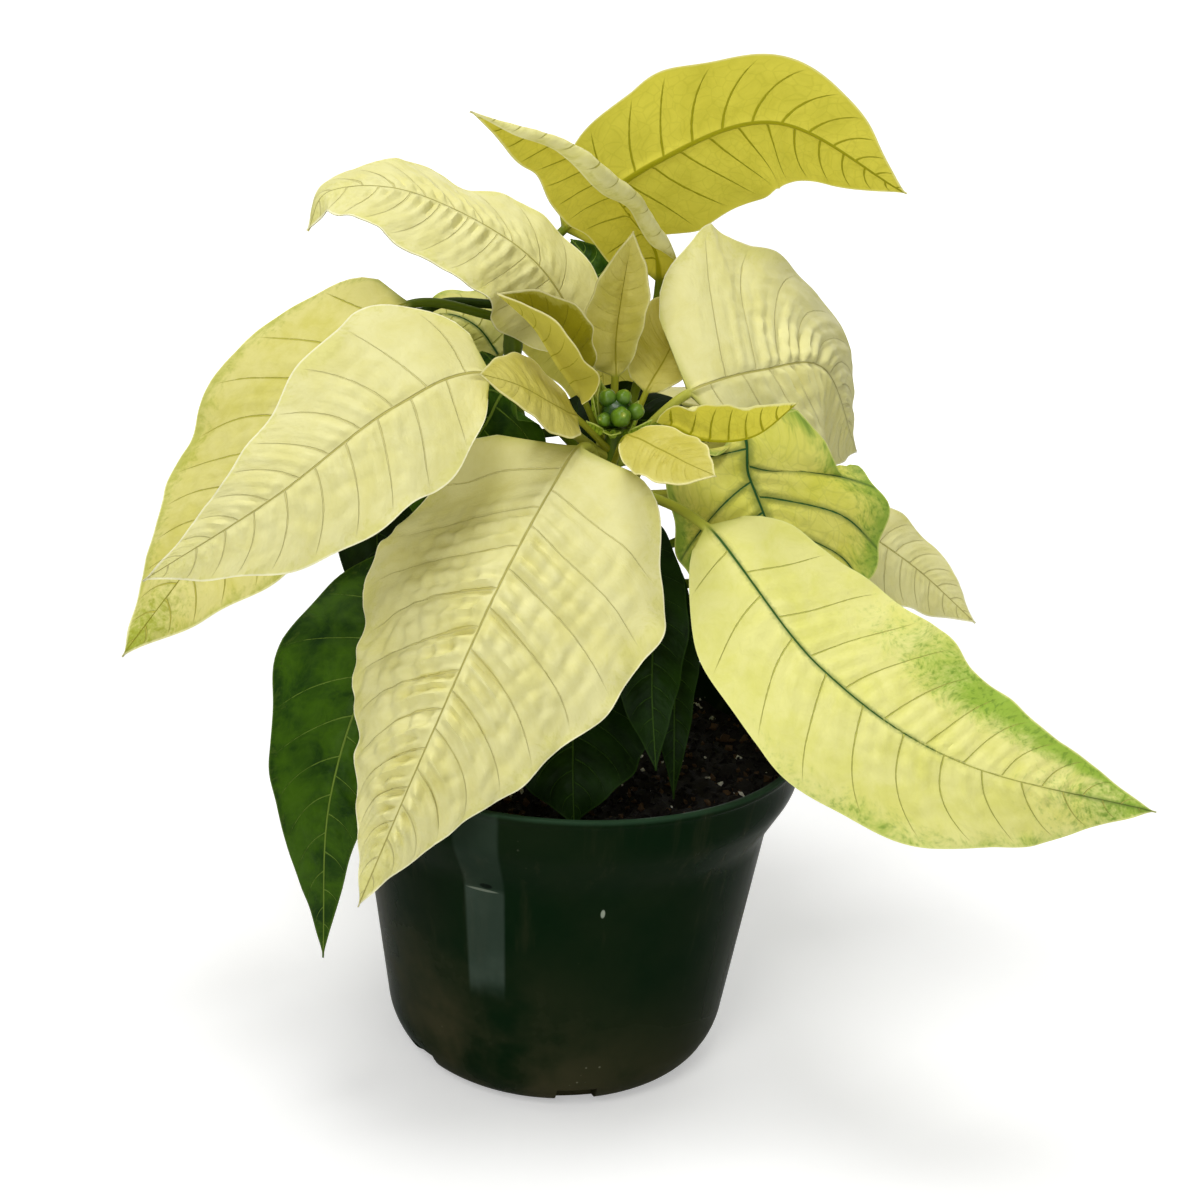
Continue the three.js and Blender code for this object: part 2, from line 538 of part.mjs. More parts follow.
function bractletGeometry() {
  const foot = HEAD.z - HEAD_CORE - GAP;
  const ring = new THREE.CylinderGeometry(RING_RADIUS + 0.8, RING_RADIUS, 1.2, 10);
  ring.rotateX(Math.PI / 2).translate(HEAD.x, HEAD.y, foot - 0.6);
  const blades = BRACTLETS.map(({ azimuth, reach, rise }) => {
    const way = new THREE.Vector3(Math.cos(radians(azimuth)), Math.sin(radians(azimuth)), 0);
    const point = (out, up) => HEAD.clone().setZ(foot - 0.9 + up).addScaledVector(way, out);
    const outer = RING_RADIUS + reach;
    const leaf = {
      ...LEAF_DEFAULTS, ...SMALL, ribbed: false, rows: 4, stalk: 0.5, half: [1.7, 1.7],
      wave: [0, 1, 0], fold: [12, 12],
      rib: [point(RING_RADIUS + 1.4, 0.3), point(RING_RADIUS + 0.7 * reach, 0.45 * rise), point(outer, rise)]
        .map((p) => p.toArray()),
      face: [[-way.x, -way.y, 0.8], [-way.x, -way.y, 0.8]],
    };
    return leafSkin(leaf, point(RING_RADIUS - 1, 0));
  });
  return joined([ring, ...blades]);
}

// ---- assembly -----------------------------------------------------------------------------

const plant = new THREE.Group();

function add(name, geometry, colour, roughness) {
  const mesh = new THREE.Mesh(geometry, finish(COLOURS[colour], roughness));
  mesh.name = name;
  plant.add(mesh);
}

add('pot', potGeometry(), 'pot', 0.35);
add('soil', soilGeometry(), 'soil', 0.95);
add('stems', stemGeometry(), 'stem', 0.5);
add('flower_buds', budGeometry(), 'bud', 0.45);
add('flower_bractlets', bractletGeometry(), 'bractlet', 0.5);

const STEM_CURVES = { front: smoothCurve(FRONT_STEM.map(vector)), rear: smoothCurve(REAR_STEM.map(vector)) };

Object.entries(LEAVES).forEach(([name, given]) => {
  const leaf = { ...LEAF_DEFAULTS, ...given };
  const start = petioleStart(STEM_CURVES[leaf.stem], leaf.at, vector(leaf.rib[0]), leaf.stalk);
  add(name, leafSkin(leaf, start), leaf.colour, 0.5);
});

export default plant;
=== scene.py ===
import json
import math

import bpy
import numpy as np
from mathutils import Matrix


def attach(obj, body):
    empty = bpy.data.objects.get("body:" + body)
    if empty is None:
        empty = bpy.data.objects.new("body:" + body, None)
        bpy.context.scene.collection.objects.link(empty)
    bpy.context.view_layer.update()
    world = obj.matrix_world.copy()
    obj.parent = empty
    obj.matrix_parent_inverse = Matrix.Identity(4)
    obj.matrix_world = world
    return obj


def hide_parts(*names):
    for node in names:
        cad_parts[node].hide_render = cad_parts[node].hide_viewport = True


# A white-bracted poinsettia in a glossy nursery pot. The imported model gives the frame, and the leaves,
# stems, flower head, soil and pot are worked out again here as fine surfaces in the same places.
# Lengths are in millimetres until a mesh is made, and MM turns them into metres.

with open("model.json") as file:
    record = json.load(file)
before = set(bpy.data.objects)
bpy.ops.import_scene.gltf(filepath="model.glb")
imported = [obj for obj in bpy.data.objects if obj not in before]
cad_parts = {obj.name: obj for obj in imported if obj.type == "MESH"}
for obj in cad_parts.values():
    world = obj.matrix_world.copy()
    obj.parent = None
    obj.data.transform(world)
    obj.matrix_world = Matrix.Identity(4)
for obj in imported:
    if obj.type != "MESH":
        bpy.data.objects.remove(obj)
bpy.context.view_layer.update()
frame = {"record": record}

MM = 0.001
TURN = 2 * math.pi

# ---- the plant's driving dimensions -----------------------------------------------------------

POT_HEIGHT = 88
POT_RIM_RADIUS = 60
POT_BAND_HEIGHT = 10
POT_BAND_RADIUS = 59             # at the foot of the rim band
POT_SHOULDER_HEIGHT = 12
POT_NECK_RADIUS = 52.4
POT_BASE_RADIUS = 43.5
POT_CORNER = 8.8
POT_WALL = 1.5
NOTCH_COUNT = 6
NOTCH_WIDTH = 10
NOTCH_HEIGHT = 7
NOTCH_TURN = -80
NOTCH_REACH = 8                  # how far the cut runs inwards and outwards from the foot's radius
SOIL_TOP = 78
TRUNK_RADIUS = 4.4
BRANCH_RADIUS = 2.3
GAP = 0.3
BLADE = 0.44                     # thickness of the dressed blade
STEM_CURVES = {
    "front": [(0, 0, 88), (2, 1, 104), (5, -2, 134), (7, -4, 164)],
    "rear": [(0, 1, 88), (-6, 7, 108), (-14, 12, 140), (-19, 15, 172), (-19, 20, 194)],
}
HEAD = np.array((7, -6, 169.5))

# ---- the leaves -------------------------------------------------------------------------------
# rib       points of the midrib: the first is the base of the blade, the last is the tip
# stem, at  the stem that carries the leaf, and the height where its petiole leaves it
# half      greatest half-widths, left and right of the midrib (looking from base to tip, face up)
# widest    where along the blade each half is widest
# full      how full each half stays towards the tip: 1 is straight, 2 is rounded
# round     how slowly the blade widens from its base: small is blunt
# stalk     radius of the petiole
# face      the direction that the upper face looks in, at the base and at the tip
# fold      degrees that each half rises from the midrib plane (below 0 it hangs)
# curl      further degrees that each half turns by its margin
# wave      height, number along the blade and phase of the waves in the margin
# roll      further degrees that each half turns, all of it between halfway out and the margin
# sweep     how far the side veins carry the margin forward, and where they run straight out
# veins     side veins on each half; quilt: height of the blade's pillows between them
# steps     rows of the mesh from one side vein to the next; columns: its columns across each half

LARGE = dict(
    stem="front", look="cream", widest=0.38, full=1.8, fold=-15, curl=0, roll=0, wave=(1.2, 3, 0),
    sweep=(0.5, 0.12), round=0.55, stalk=1.15, veins=11, quilt=0.5, steps=10, columns=26,
)
SMALL = dict(LARGE, stalk=0.75, wave=(0.5, 2, 0), widest=0.45, veins=8, quilt=0.45, steps=8, columns=20)
HIDDEN = dict(LARGE, steps=6, columns=20)
GREEN = dict(LARGE, look="green", quilt=0.35, steps=8, columns=20)
# leaves in deep shade: a darker copy of the green look, its darkness painted shade
SHADED = dict(GREEN, look="deep_green")


def leaf(style, at, half, rib, face, **own):
    """A style's values and the leaf's own. One number serves both halves, and one face both ends."""
    values = dict(style, at=at, half=half, rib=rib, face=face, **own)
    for key in ("half", "widest", "full", "fold", "curl", "roll"):
        if not isinstance(values[key], tuple):
            values[key] = (values[key], values[key])
    if isinstance(face, tuple):
        values["face"] = [face, face]
    return values


LEAVES = {
    # the large pale bracts of the front and sides
    "bract_front": leaf(
        LARGE, 152, (37, 45), [(-1, -20, 163), (-14, -44, 143), (-29, -60, 107), (-44, -64, 66)],
        [(-0.3, -0.8, 0.5), (-0.3, -0.95, 0.1)], widest=(0.34, 0.28), full=(1.3, 1.45), round=0.45,
        fold=-22, curl=-8, sweep=(0.3, 0.12), veins=12, quilt=2.2, steps=16, columns=60,
    ),
    "bract_left_front": leaf(
        LARGE, 157, (20, 23), [(-22, -26, 180), (-41, -42, 175), (-65, -52, 156), (-94, -50, 135)],
        [(-0.1, -0.8, 0.6), (-0.2, -0.8, 0.6)], widest=(0.36, 0.2), full=(1.8, 1.2), fold=(-22, 12),
        quilt=0.8, steps=12, columns=36,
    ),
    "bract_left": leaf(
        LARGE, 186, (24, 28), [(-45, 12, 189), (-65, 0, 172), (-85, -14, 139), (-107, -24, 107)],
        [(-0.2, -0.8, 0.6), (-0.3, -0.85, 0.3)], stem="rear", look="yellow", widest=(0.38, 0.32),
        quilt=0.7, steps=12, columns=32,
    ),
    "bract_upper_left": leaf(
        LARGE, 150, (21, 18),
        [(-1, 9, 181), (-15, 4, 203), (-41, -6, 217), (-60, -10, 217), (-65, -12, 208)],
        [(-0.2, -0.45, 0.85), (-0.5, -0.4, 0.7)], widest=(0.38, 0.42), full=2, quilt=1.1, fold=(-15, -5),
        steps=12, columns=32,
    ),
    "bract_right": leaf(
        LARGE, 157, (41, 33), [(24, -6, 175), (42, 8, 179), (60, 30, 176), (74, 57, 149)],
        [(-0.1, -0.9, 0.45), (0.4, -0.6, 0.6)], widest=(0.26, 0.4), full=(1.1, 1.8), round=0.5,
        fold=(4, -15), curl=-10, sweep=(0.5, -0.2), quilt=1.1, steps=14, columns=46,
    ),
    "bract_far_right": leaf(
        LARGE, 148, 13, [(61, 34, 143), (74, 38, 133), (92, 40, 121), (109, 40, 107)],
        [(0.2, -0.7, 0.7), (0.3, -0.8, 0.4)], widest=0.45,
    ),
    "bract_right_front": leaf(
        LARGE, 152, (27, 23), [(29, -34, 150), (55, -52, 125), (86, -60, 108), (132, -56, 97)],
        [(0.1, -0.8, 0.6), (0.1, -0.9, 0.4)], look="green_edged", widest=(0.38, 0.42), full=(1.5, 1.8),
        fold=(-12, -18), veins=12, quilt=0.8, steps=12, columns=36,
    ),
    "bract_top_right": leaf(
        LARGE, 192, (24.6, 18.7), [(-9, 44, 206), (14, 40, 225), (43, 36, 236), (78, 44, 220)],
        (0.1, 0.85, 0.45), stem="rear", look="backlit", fold=8, quilt=0.35, veins=13, steps=8, columns=32,
    ),
    "bract_top_left": leaf(
        LARGE, 146, (15, 13), [(16, 23, 197), (7, 10, 215), (-7, -14, 229), (-27, -35, 237)],
        [(0.3, 0.8, 0.5), (0.3, 0.7, 0.6)], look="backlit", widest=(0.5, 0.38), fold=(-20, -30),
        curl=(0, -40), roll=(-150, 0), quilt=0.35, columns=34,
    ),
    "bract_back_left": leaf(
        HIDDEN, 162, 22, [(-30, 36, 176), (-50, 60, 176), (-66, 84, 160), (-74, 100, 134)],
        [(-0.3, 0.3, 0.9), (-0.4, 0.8, 0.4)], stem="rear",
    ),
    "bract_back": leaf(
        HIDDEN, 180, 24, [(-8, 48, 188), (-4, 76, 184), (2, 104, 164), (4, 120, 136)],
        [(0, 0.2, 1), (0, 0.9, 0.4)], stem="rear",
    ),
    "bract_back_right": leaf(
        HIDDEN, 132, 22, [(22, 34, 164), (36, 62, 162), (48, 88, 144), (54, 102, 116)],
        [(0.3, 0.3, 0.9), (0.4, 0.8, 0.4)],
    ),

    # the small bracts round the flower head
    "bract_folded": leaf(
        SMALL, 156.3, 11, [(-1, -9, 173), (-7, -15, 182), (-13, -19, 191), (-21, -22, 198)],
        (0.3, -0.5, 0.8), look="glowing", fold=50, curl=20, quilt=0.15,
    ),
    "bract_small_left": leaf(
        SMALL, 158.8, (8, 13), [(-2, -18, 170), (-8, -26, 175), (-15, -34, 180), (-23, -40, 183)],
        (-0.1, -0.7, 0.7), look="young", widest=(0.4, 0.38), sweep=(1.1, 0.6), fold=(-10, -5),
    ),
    "bract_upright": leaf(
        SMALL, 157, (9.5, 7), [(6.5, 2, 176.5), (6, -1, 186), (7, -5, 199), (8.5, -10, 212)],
        (0.1, -0.9, 0.2), look="young", widest=(0.42, 0.55), fold=30,
    ),
    "bract_small_right": leaf(
        SMALL, 149, (11, 8), [(14, 2, 173), (18, 8, 180), (22, 13, 188), (26, 18, 196)], (0, -0.8, 0.5),
        look="young", fold=15,
    ),
    "bract_narrow": leaf(
        SMALL, 158, (8, 10), [(18, -18, 170), (28, -27, 169), (38, -34, 172), (46, -40, 181)],
        (0, -0.1, 1), look="backlit", fold=(50, 60),
    ),
    "bract_small_front": leaf(
        SMALL, 154, 8, [(10, -26, 168), (17, -36, 168), (23, -44, 167), (29, -50, 166)], (0.1, -0.8, 0.6),
        look="young", fold=-10, quilt=0.6,
    ),
    "bract_small_back": leaf(
        SMALL, 160, 7, [(6, 12, 176), (5, 24, 182), (4, 36, 182), (4, 46, 176)], [(0, 0, 1), (0, 0.3, 1)],
        look="young", fold=10,
    ),

    # the green leaves
    "leaf_variegated": leaf(
        LARGE, 156, (33, 22), [(35, -9.5, 167), (39, -16, 158), (45, -22, 145), (53, -28, 121)],
        [(0.2, -0.8, 0.6), (0.2, -0.95, 0.2)], look="green_veined", widest=0.4, fold=(-12, -18), veins=7,
        steps=14, columns=34,
    ),
    "leaf_yellow_green": leaf(
        GREEN, 168, 11, [(-23, 21, 176), (-29, 23, 183), (-38, 27, 185), (-50, 33, 180)],
        [(-0.1, -0.8, 0.5), (-0.2, -0.6, 0.8)], stem="rear", look="green_edged", veins=7,
    ),
    "leaf_left": leaf(
        GREEN, 130, (12, 25), [(-24, -11, 133), (-44, -31, 114), (-53, -48, 85), (-54, -51, 45)],
        [(-0.1, -0.8, 0.6), (-0.1, -1, 0.1)], widest=(0.42, 0.34), full=(1.5, 1.2), quilt=0.5, steps=10,
        columns=30,
    ),
    "leaf_left_inner": leaf(
        SHADED, 190, 15, [(-41, 18, 187), (-47, 12, 165), (-50, 0, 133), (-42, -10, 97)],
        [(-0.3, -0.8, 0.4), (-0.3, -0.9, 0.1)], stem="rear",
    ),
    "leaf_front_left": leaf(
        GREEN, 152, (17, 22), [(-17, -2, 172), (-24, -4, 164), (-31, -7, 151), (-36, -9, 136)],
        [(-0.1, -0.8, 0.6), (-0.1, -1, 0.1)], widest=(0.42, 0.3), veins=8,
    ),
    "leaf_front": leaf(
        SHADED, 144, (8.5, 11), [(14, -18, 147), (18, -31, 130), (19, -41, 112), (21, -45, 95)],
        [(0, -0.9, 0.4), (0, -1, 0.1)],
    ),
    "leaf_front_narrow": leaf(
        SHADED, 134, 6, [(20, -10, 135), (24, -22, 119), (25, -32, 102), (26, -36, 84)],
        [(0.1, -0.9, 0.4), (0.1, -1, 0.1)], columns=14,
    ),
    "leaf_low_front": leaf(
        SHADED, 120, 19, [(0, -20, 117), (1, -32, 106), (2, -43, 93), (3, -47, 81)], (0, -0.9, 0.4),
        veins=8,
    ),
    "leaf_behind_head": leaf(
        SHADED, 158, (12, 9), [(-7, 16, 159), (4, 18, 162), (18, 20, 162), (31, 19, 158)], (0, -0.8, 0.6),
        stem="rear", columns=16,
    ),
    "leaf_small_back": leaf(
        GREEN, 182, 10, [(-6, 28, 188), (-1, 33, 195), (-3, 37, 200), (-7, 40, 204)], (0.2, -0.8, 0.5),
        stem="rear", veins=6, columns=16,
    ),
    "leaf_back_left": leaf(
        GREEN, 134, 18, [(-28, 26, 146), (-52, 44, 150), (-70, 58, 142), (-82, 68, 126)],
        [(-0.3, 0.2, 0.9), (-0.4, 0.3, 0.8)], stem="rear", fold=-12,
    ),
    "leaf_back": leaf(
        GREEN, 116, 24, [(0, 38, 128), (-2, 68, 120), (-4, 92, 96), (-4, 102, 68)],
        [(0, 0.2, 1), (0, 0.9, 0.4)], stem="rear", fold=-12,
    ),
    "leaf_back_right": leaf(
        GREEN, 126, 18, [(32, 26, 132), (52, 42, 126), (66, 54, 110), (72, 60, 90)],
        [(0.3, 0.2, 0.9), (0.5, 0.5, 0.6)], fold=-12,
    ),
    "leaf_right": leaf(
        GREEN, 118, 14, [(30, -12, 130), (48, -20, 122), (62, -26, 108), (72, -30, 94)],
        [(0.3, -0.3, 0.9), (0.5, -0.5, 0.6)], fold=-12,
    ),
    "leaf_low_left": leaf(
        GREEN, 118, 16, [(-26, 14, 134), (-46, 18, 128), (-62, 20, 110), (-70, 20, 88)],
        [(-0.3, 0, 0.9), (-0.6, 0, 0.6)], stem="rear", fold=-12,
    ),
}


# ---- arrays and meshes ------------------------------------------------------------------------

def unit(v):
    """v divided by its length, along the last axis."""
    v = np.asarray(v, float)
    return v / np.linalg.norm(v, axis=-1, keepdims=True)


def lerp(a, b, share):
    """a + (b - a) share."""
    return a + (b - a) * share


def smoothstep(x, low, high):
    """0 below low, 1 above high, and 3w^2 - 2w^3 between them."""
    w = np.clip((x - low) / (high - low), 0, 1)
    return w * w * (3 - 2 * w)


WAVE_COUNT = 6


def ripple(x, y, wavelength, seed):
    """An uneven field of about -1 to 1: 0.8 / sqrt(WAVE_COUNT) times a sum of seeded sine waves."""
    rng = np.random.default_rng(seed)
    angle = rng.uniform(0, math.pi, WAVE_COUNT)
    phase = rng.uniform(0, TURN, WAVE_COUNT)
    pitch = TURN / wavelength * rng.uniform(0.75, 1.35, WAVE_COUNT)
    across = np.multiply.outer(x, np.cos(angle) * pitch) + np.multiply.outer(y, np.sin(angle) * pitch)
    return np.sin(across + phase).sum(-1) / math.sqrt(WAVE_COUNT) * 0.8


class Rail:
    """A smooth curve through points, read by its share of arc length.

    On each stretch p(w) = (2 p1 + (p2 - p0) w + (2 p0 - 5 p1 + 4 p2 - p3) w^2
    + (3 p1 - p0 - 3 p2 + p3) w^3) / 2, with a straight step added before the first point and after the last.
    """

    STEPS = 60

    def __init__(self, points):
        points = np.asarray(points, float)
        p = np.vstack([2 * points[0] - points[1], points, 2 * points[-1] - points[-2]])
        w = np.linspace(0, 1, self.STEPS, endpoint=False)[None, :, None]
        p0, p1, p2, p3 = (p[i:len(p) - 3 + i, None, :] for i in range(4))
        stretch = 2 * p1 + (p2 - p0) * w + (2 * p0 - 5 * p1 + 4 * p2 - p3) * w**2
        stretch = (stretch + (3 * p1 - p0 - 3 * p2 + p3) * w**3) / 2
        self.points = np.vstack([stretch.reshape(-1, 3), points[-1]])
        run = np.linalg.norm(np.diff(self.points, axis=0), axis=1).cumsum()
        self.total = run[-1]
        self.share = np.concatenate([[0], run]) / self.total
        self.second = self.share[self.STEPS]        # the share where the second point lies
        self.way = unit(np.gradient(self.points, self.share, axis=0))

    def at(self, s):
        """Points and directions at shares s of the length. It runs on straight below 0."""
        centre = np.stack([np.interp(s, self.share, c) for c in self.points.T], -1)
        way = unit(np.stack([np.interp(s, self.share, c) for c in self.way.T], -1))
        return centre + way * (np.minimum(s, 0) * self.total)[..., None], way


def grid_faces(rows, columns, wrap=False):
    """Four-sided faces of a grid of points, counter-clockwise about (along columns) x (along rows)."""
    i, j = np.mgrid[0:rows - 1, 0:columns if wrap else columns - 1]
    right = (j + 1) % columns
    quads = [i * columns + j, i * columns + right, (i + 1) * columns + right, (i + 1) * columns + j]
    return np.stack(quads, -1).reshape(-1, 4)


def capped(rows, sides):
    """Faces of a closed skin made of rings: its side, its first ring and its last ring."""
    ring = np.arange(sides)
    return [grid_faces(rows, sides, wrap=True), [ring[::-1]], [ring + (rows - 1) * sides]]


def around(sides):
    """The angles of a ring of points, a full turn in equal steps."""
    return np.linspace(0, TURN, sides, endpoint=False)


def turned(r, z, sides):
    """Points (r cos a, r sin a, z) of a profile turned round the z axis."""
    a = around(sides)
    r, z = np.reshape(r, (-1, 1)), np.reshape(z, (-1, 1))
    return np.stack([r * np.cos(a), r * np.sin(a), z + 0 * a], -1).reshape(-1, 3)


def make_mesh(name, points, faces, material, attributes=None, uv=None, sharp=50):
    """A mesh object from points in mm and lists of faces, with its per-point attributes."""
    mesh = bpy.data.meshes.new(name)
    polygons = [list(map(int, face)) for part in faces for face in part]
    mesh.from_pydata((np.asarray(points) * MM).tolist(), [], polygons)
    for label, values in (attributes or {}).items():
        mesh.attributes.new(label, "FLOAT", "POINT").data.foreach_set("value", np.asarray(values, np.float32))
    if uv is not None:
        corner = np.zeros(len(mesh.loops), np.int32)
        mesh.loops.foreach_get("vertex_index", corner)
        layer = mesh.uv_layers.new(name="UVMap")
        layer.data.foreach_set("uv", np.asarray(uv, np.float32)[corner].ravel())
    mesh.shade_smooth()
    mesh.set_sharp_from_angle(angle=math.radians(sharp))
    mesh.materials.append(material)
    piece = bpy.data.objects.new(name, mesh)
    bpy.context.scene.collection.objects.link(piece)
    return piece


def settle(piece, slot, *nodes):
    """Hands a finished piece to the frame: attaches it to its body and hides the nodes it stands for. slot is
    not used.
    """
    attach(piece, "root")
    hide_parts(*nodes)


def tube(points, radius, sides, rows):
    """A tube along a rail, with closed ends: centre + radius(s, a) (cos a side - sin a normal).

    radius takes the shares s of the length and the angles a and gives mm. Returns points and faces.
    """
    rail = Rail(points)
    s = np.linspace(0, 1, rows)
    centre, way = rail.at(s)
    side = unit(np.cross(way, (0.0, 1.0, 0.05)))
    normal = np.cross(side, way)
    a = around(sides)
    r = radius(s[:, None], a[None, :])[..., None]
    ring = np.cos(a)[None, :, None] * side[:, None] - np.sin(a)[None, :, None] * normal[:, None]
    return (centre[:, None] + r * ring).reshape(-1, 3), capped(rows, sides)


def joined(parts):
    """Points, faces and attribute of several (points, faces, attribute) parts put together."""
    points, faces, values = [], [], []
    first = 0
    for skin, groups, value in parts:
        points.append(skin)
        values.append(np.broadcast_to(value, len(skin)))
        faces += [[np.asarray(face) + first for face in group] for group in groups]
        first += len(skin)
    return np.vstack(points), faces, np.concatenate(values)


# ---- shader building --------------------------------------------------------------------------

class Shader:
    """Adds nodes to one tree. An input takes a socket, a number, a colour or a vector."""

    def __init__(self, tree):
        self.tree = tree

    def node(self, kind, inputs=None, **settings):
        node = self.tree.nodes.new(kind)
        for key, value in settings.items():
            setattr(node, key, value)
        for key, value in (inputs or {}).items():
            self.feed(node.inputs[key], value)
        return node

    def feed(self, socket, value):
        if isinstance(value, bpy.types.NodeSocket):
            self.tree.links.new(value, socket)
        elif isinstance(value, tuple) and len(value) == 3 and socket.type == "RGBA":
            socket.default_value = (*value, 1)
        else:
            socket.default_value = value

    def math(self, operation, a, b=0.0, clamp=False):
        node = self.node("ShaderNodeMath", operation=operation, use_clamp=clamp)
        for socket, value in zip(node.inputs, (a, b)):
            self.feed(socket, value)
        return node.outputs[0]

    def plus(self, a, b):
        return self.math("ADD", a, b)

    def minus(self, a, b):
        return self.math("SUBTRACT", a, b)

    def times(self, a, b):
        return self.math("MULTIPLY", a, b)

    def mix(self, factor, a, b):
        node = self.node("ShaderNodeMix", data_type="RGBA")
        self.feed(node.inputs["Factor"], factor)
        self.feed(node.inputs[6], a)
        self.feed(node.inputs[7], b)
        return node.outputs[2]

    def span(self, value, low, high, to_low=0.0, to_high=1.0):
        """value carried smoothly from low..high to to_low..to_high."""
        node = self.node("ShaderNodeMapRange", interpolation_type="SMOOTHSTEP")
        for socket, given in zip(node.inputs, (value, low, high, to_low, to_high)):
            self.feed(socket, given)
        return node.outputs[0]

    def attribute(self, name):
        return self.node("ShaderNodeAttribute", attribute_name=name).outputs["Fac"]

    def place(self):
        """The point's place in metres: every piece sits unturned at the origin."""
        return self.node("ShaderNodeTexCoord").outputs["Object"]

    def noise(self, vector, scale, detail=2.0, roughness=0.5):
        inputs = {"Vector": vector, "Scale": scale, "Detail": detail, "Roughness": roughness}
        return self.node("ShaderNodeTexNoise", inputs).outputs["Fac"]

    def cells(self, vector, scale, feature="DISTANCE_TO_EDGE"):
        """Distance to the edge of a random cell, or with F1 to its middle."""
        node = self.node("ShaderNodeTexVoronoi", {"Vector": vector, "Scale": scale}, feature=feature)
        return node.outputs["Distance"]

    def bump(self, height, distance, strength=1.0):
        """A normal that follows a relief of height times distance, in metres."""
        inputs = {"Height": height, "Distance": distance, "Strength": strength}
        return self.node("ShaderNodeBump", inputs).outputs[0]


def new_group(name, inputs, outputs):
    """An empty shader node group with named sockets. Returns it, its builder and both socket lists."""
    tree = bpy.data.node_groups.new(name, "ShaderNodeTree")
    for label, kind, value in inputs:
        socket = tree.interface.new_socket(name=label, in_out="INPUT", socket_type=f"NodeSocket{kind}")
        socket.default_value = (*value, 1) if kind == "Color" else value
    for label, kind in outputs:
        tree.interface.new_socket(name=label, in_out="OUTPUT", socket_type=f"NodeSocket{kind}")
    shader = Shader(tree)
    return tree, shader, shader.node("NodeGroupInput").outputs, shader.node("NodeGroupOutput").inputs


def srgb(red, green, blue):
    """A colour given in 0..255 display values, as linear values."""
    c = np.array((red, green, blue)) / 255
    return tuple(float(v) for v in np.where(c <= 0.04045, c / 12.92, ((c + 0.055) / 1.055) ** 2.4))


SPECK_SCALE = 62.0               # patterns on a leaf, in repeats for each 100 mm
BLOTCH_SCALE = 9.0
NET_SCALE = 36.0
GRAIN_HEIGHT = 0.11              # in mm
LEAF_ROUGHNESS = (0.44, 0.14, 0.12)      # the least, and what the specks and the underside add
PLEATS = (4.0, 3.5)              # fine pleats from one side vein to the next, and breaks in one across a half
LEAF_COLOURS = ("Blade", "Mottle", "Vein", "Midrib", "Margin", "Rim", "Petiole", "Under", "Under Vein")
# Margin Reach is how far out the margin's colour begins, as a share; Margin Lean takes it further in on
# one half, and Margin Start is where along the blade it begins. Amounts run from 0 to 1. Widths, Halo Gap,
# Pleat and Vein Depth are in mm.
LEAF_VALUES = {
    "Margin Reach": 0.8, "Margin Lean": 0.0, "Margin Start": -0.6, "Margin Amount": 0.3, "Tip Amount": 0.3,
    "Vein Width": 0.2, "Midrib Width": 0.34, "Midrib Fade": 0.0, "Halo Width": 0.01, "Halo Amount": 0.0,
    "Halo Gap": 0.0, "Net Amount": 0.12, "Pleat": 0.3, "Vein Depth": 0.22,
}


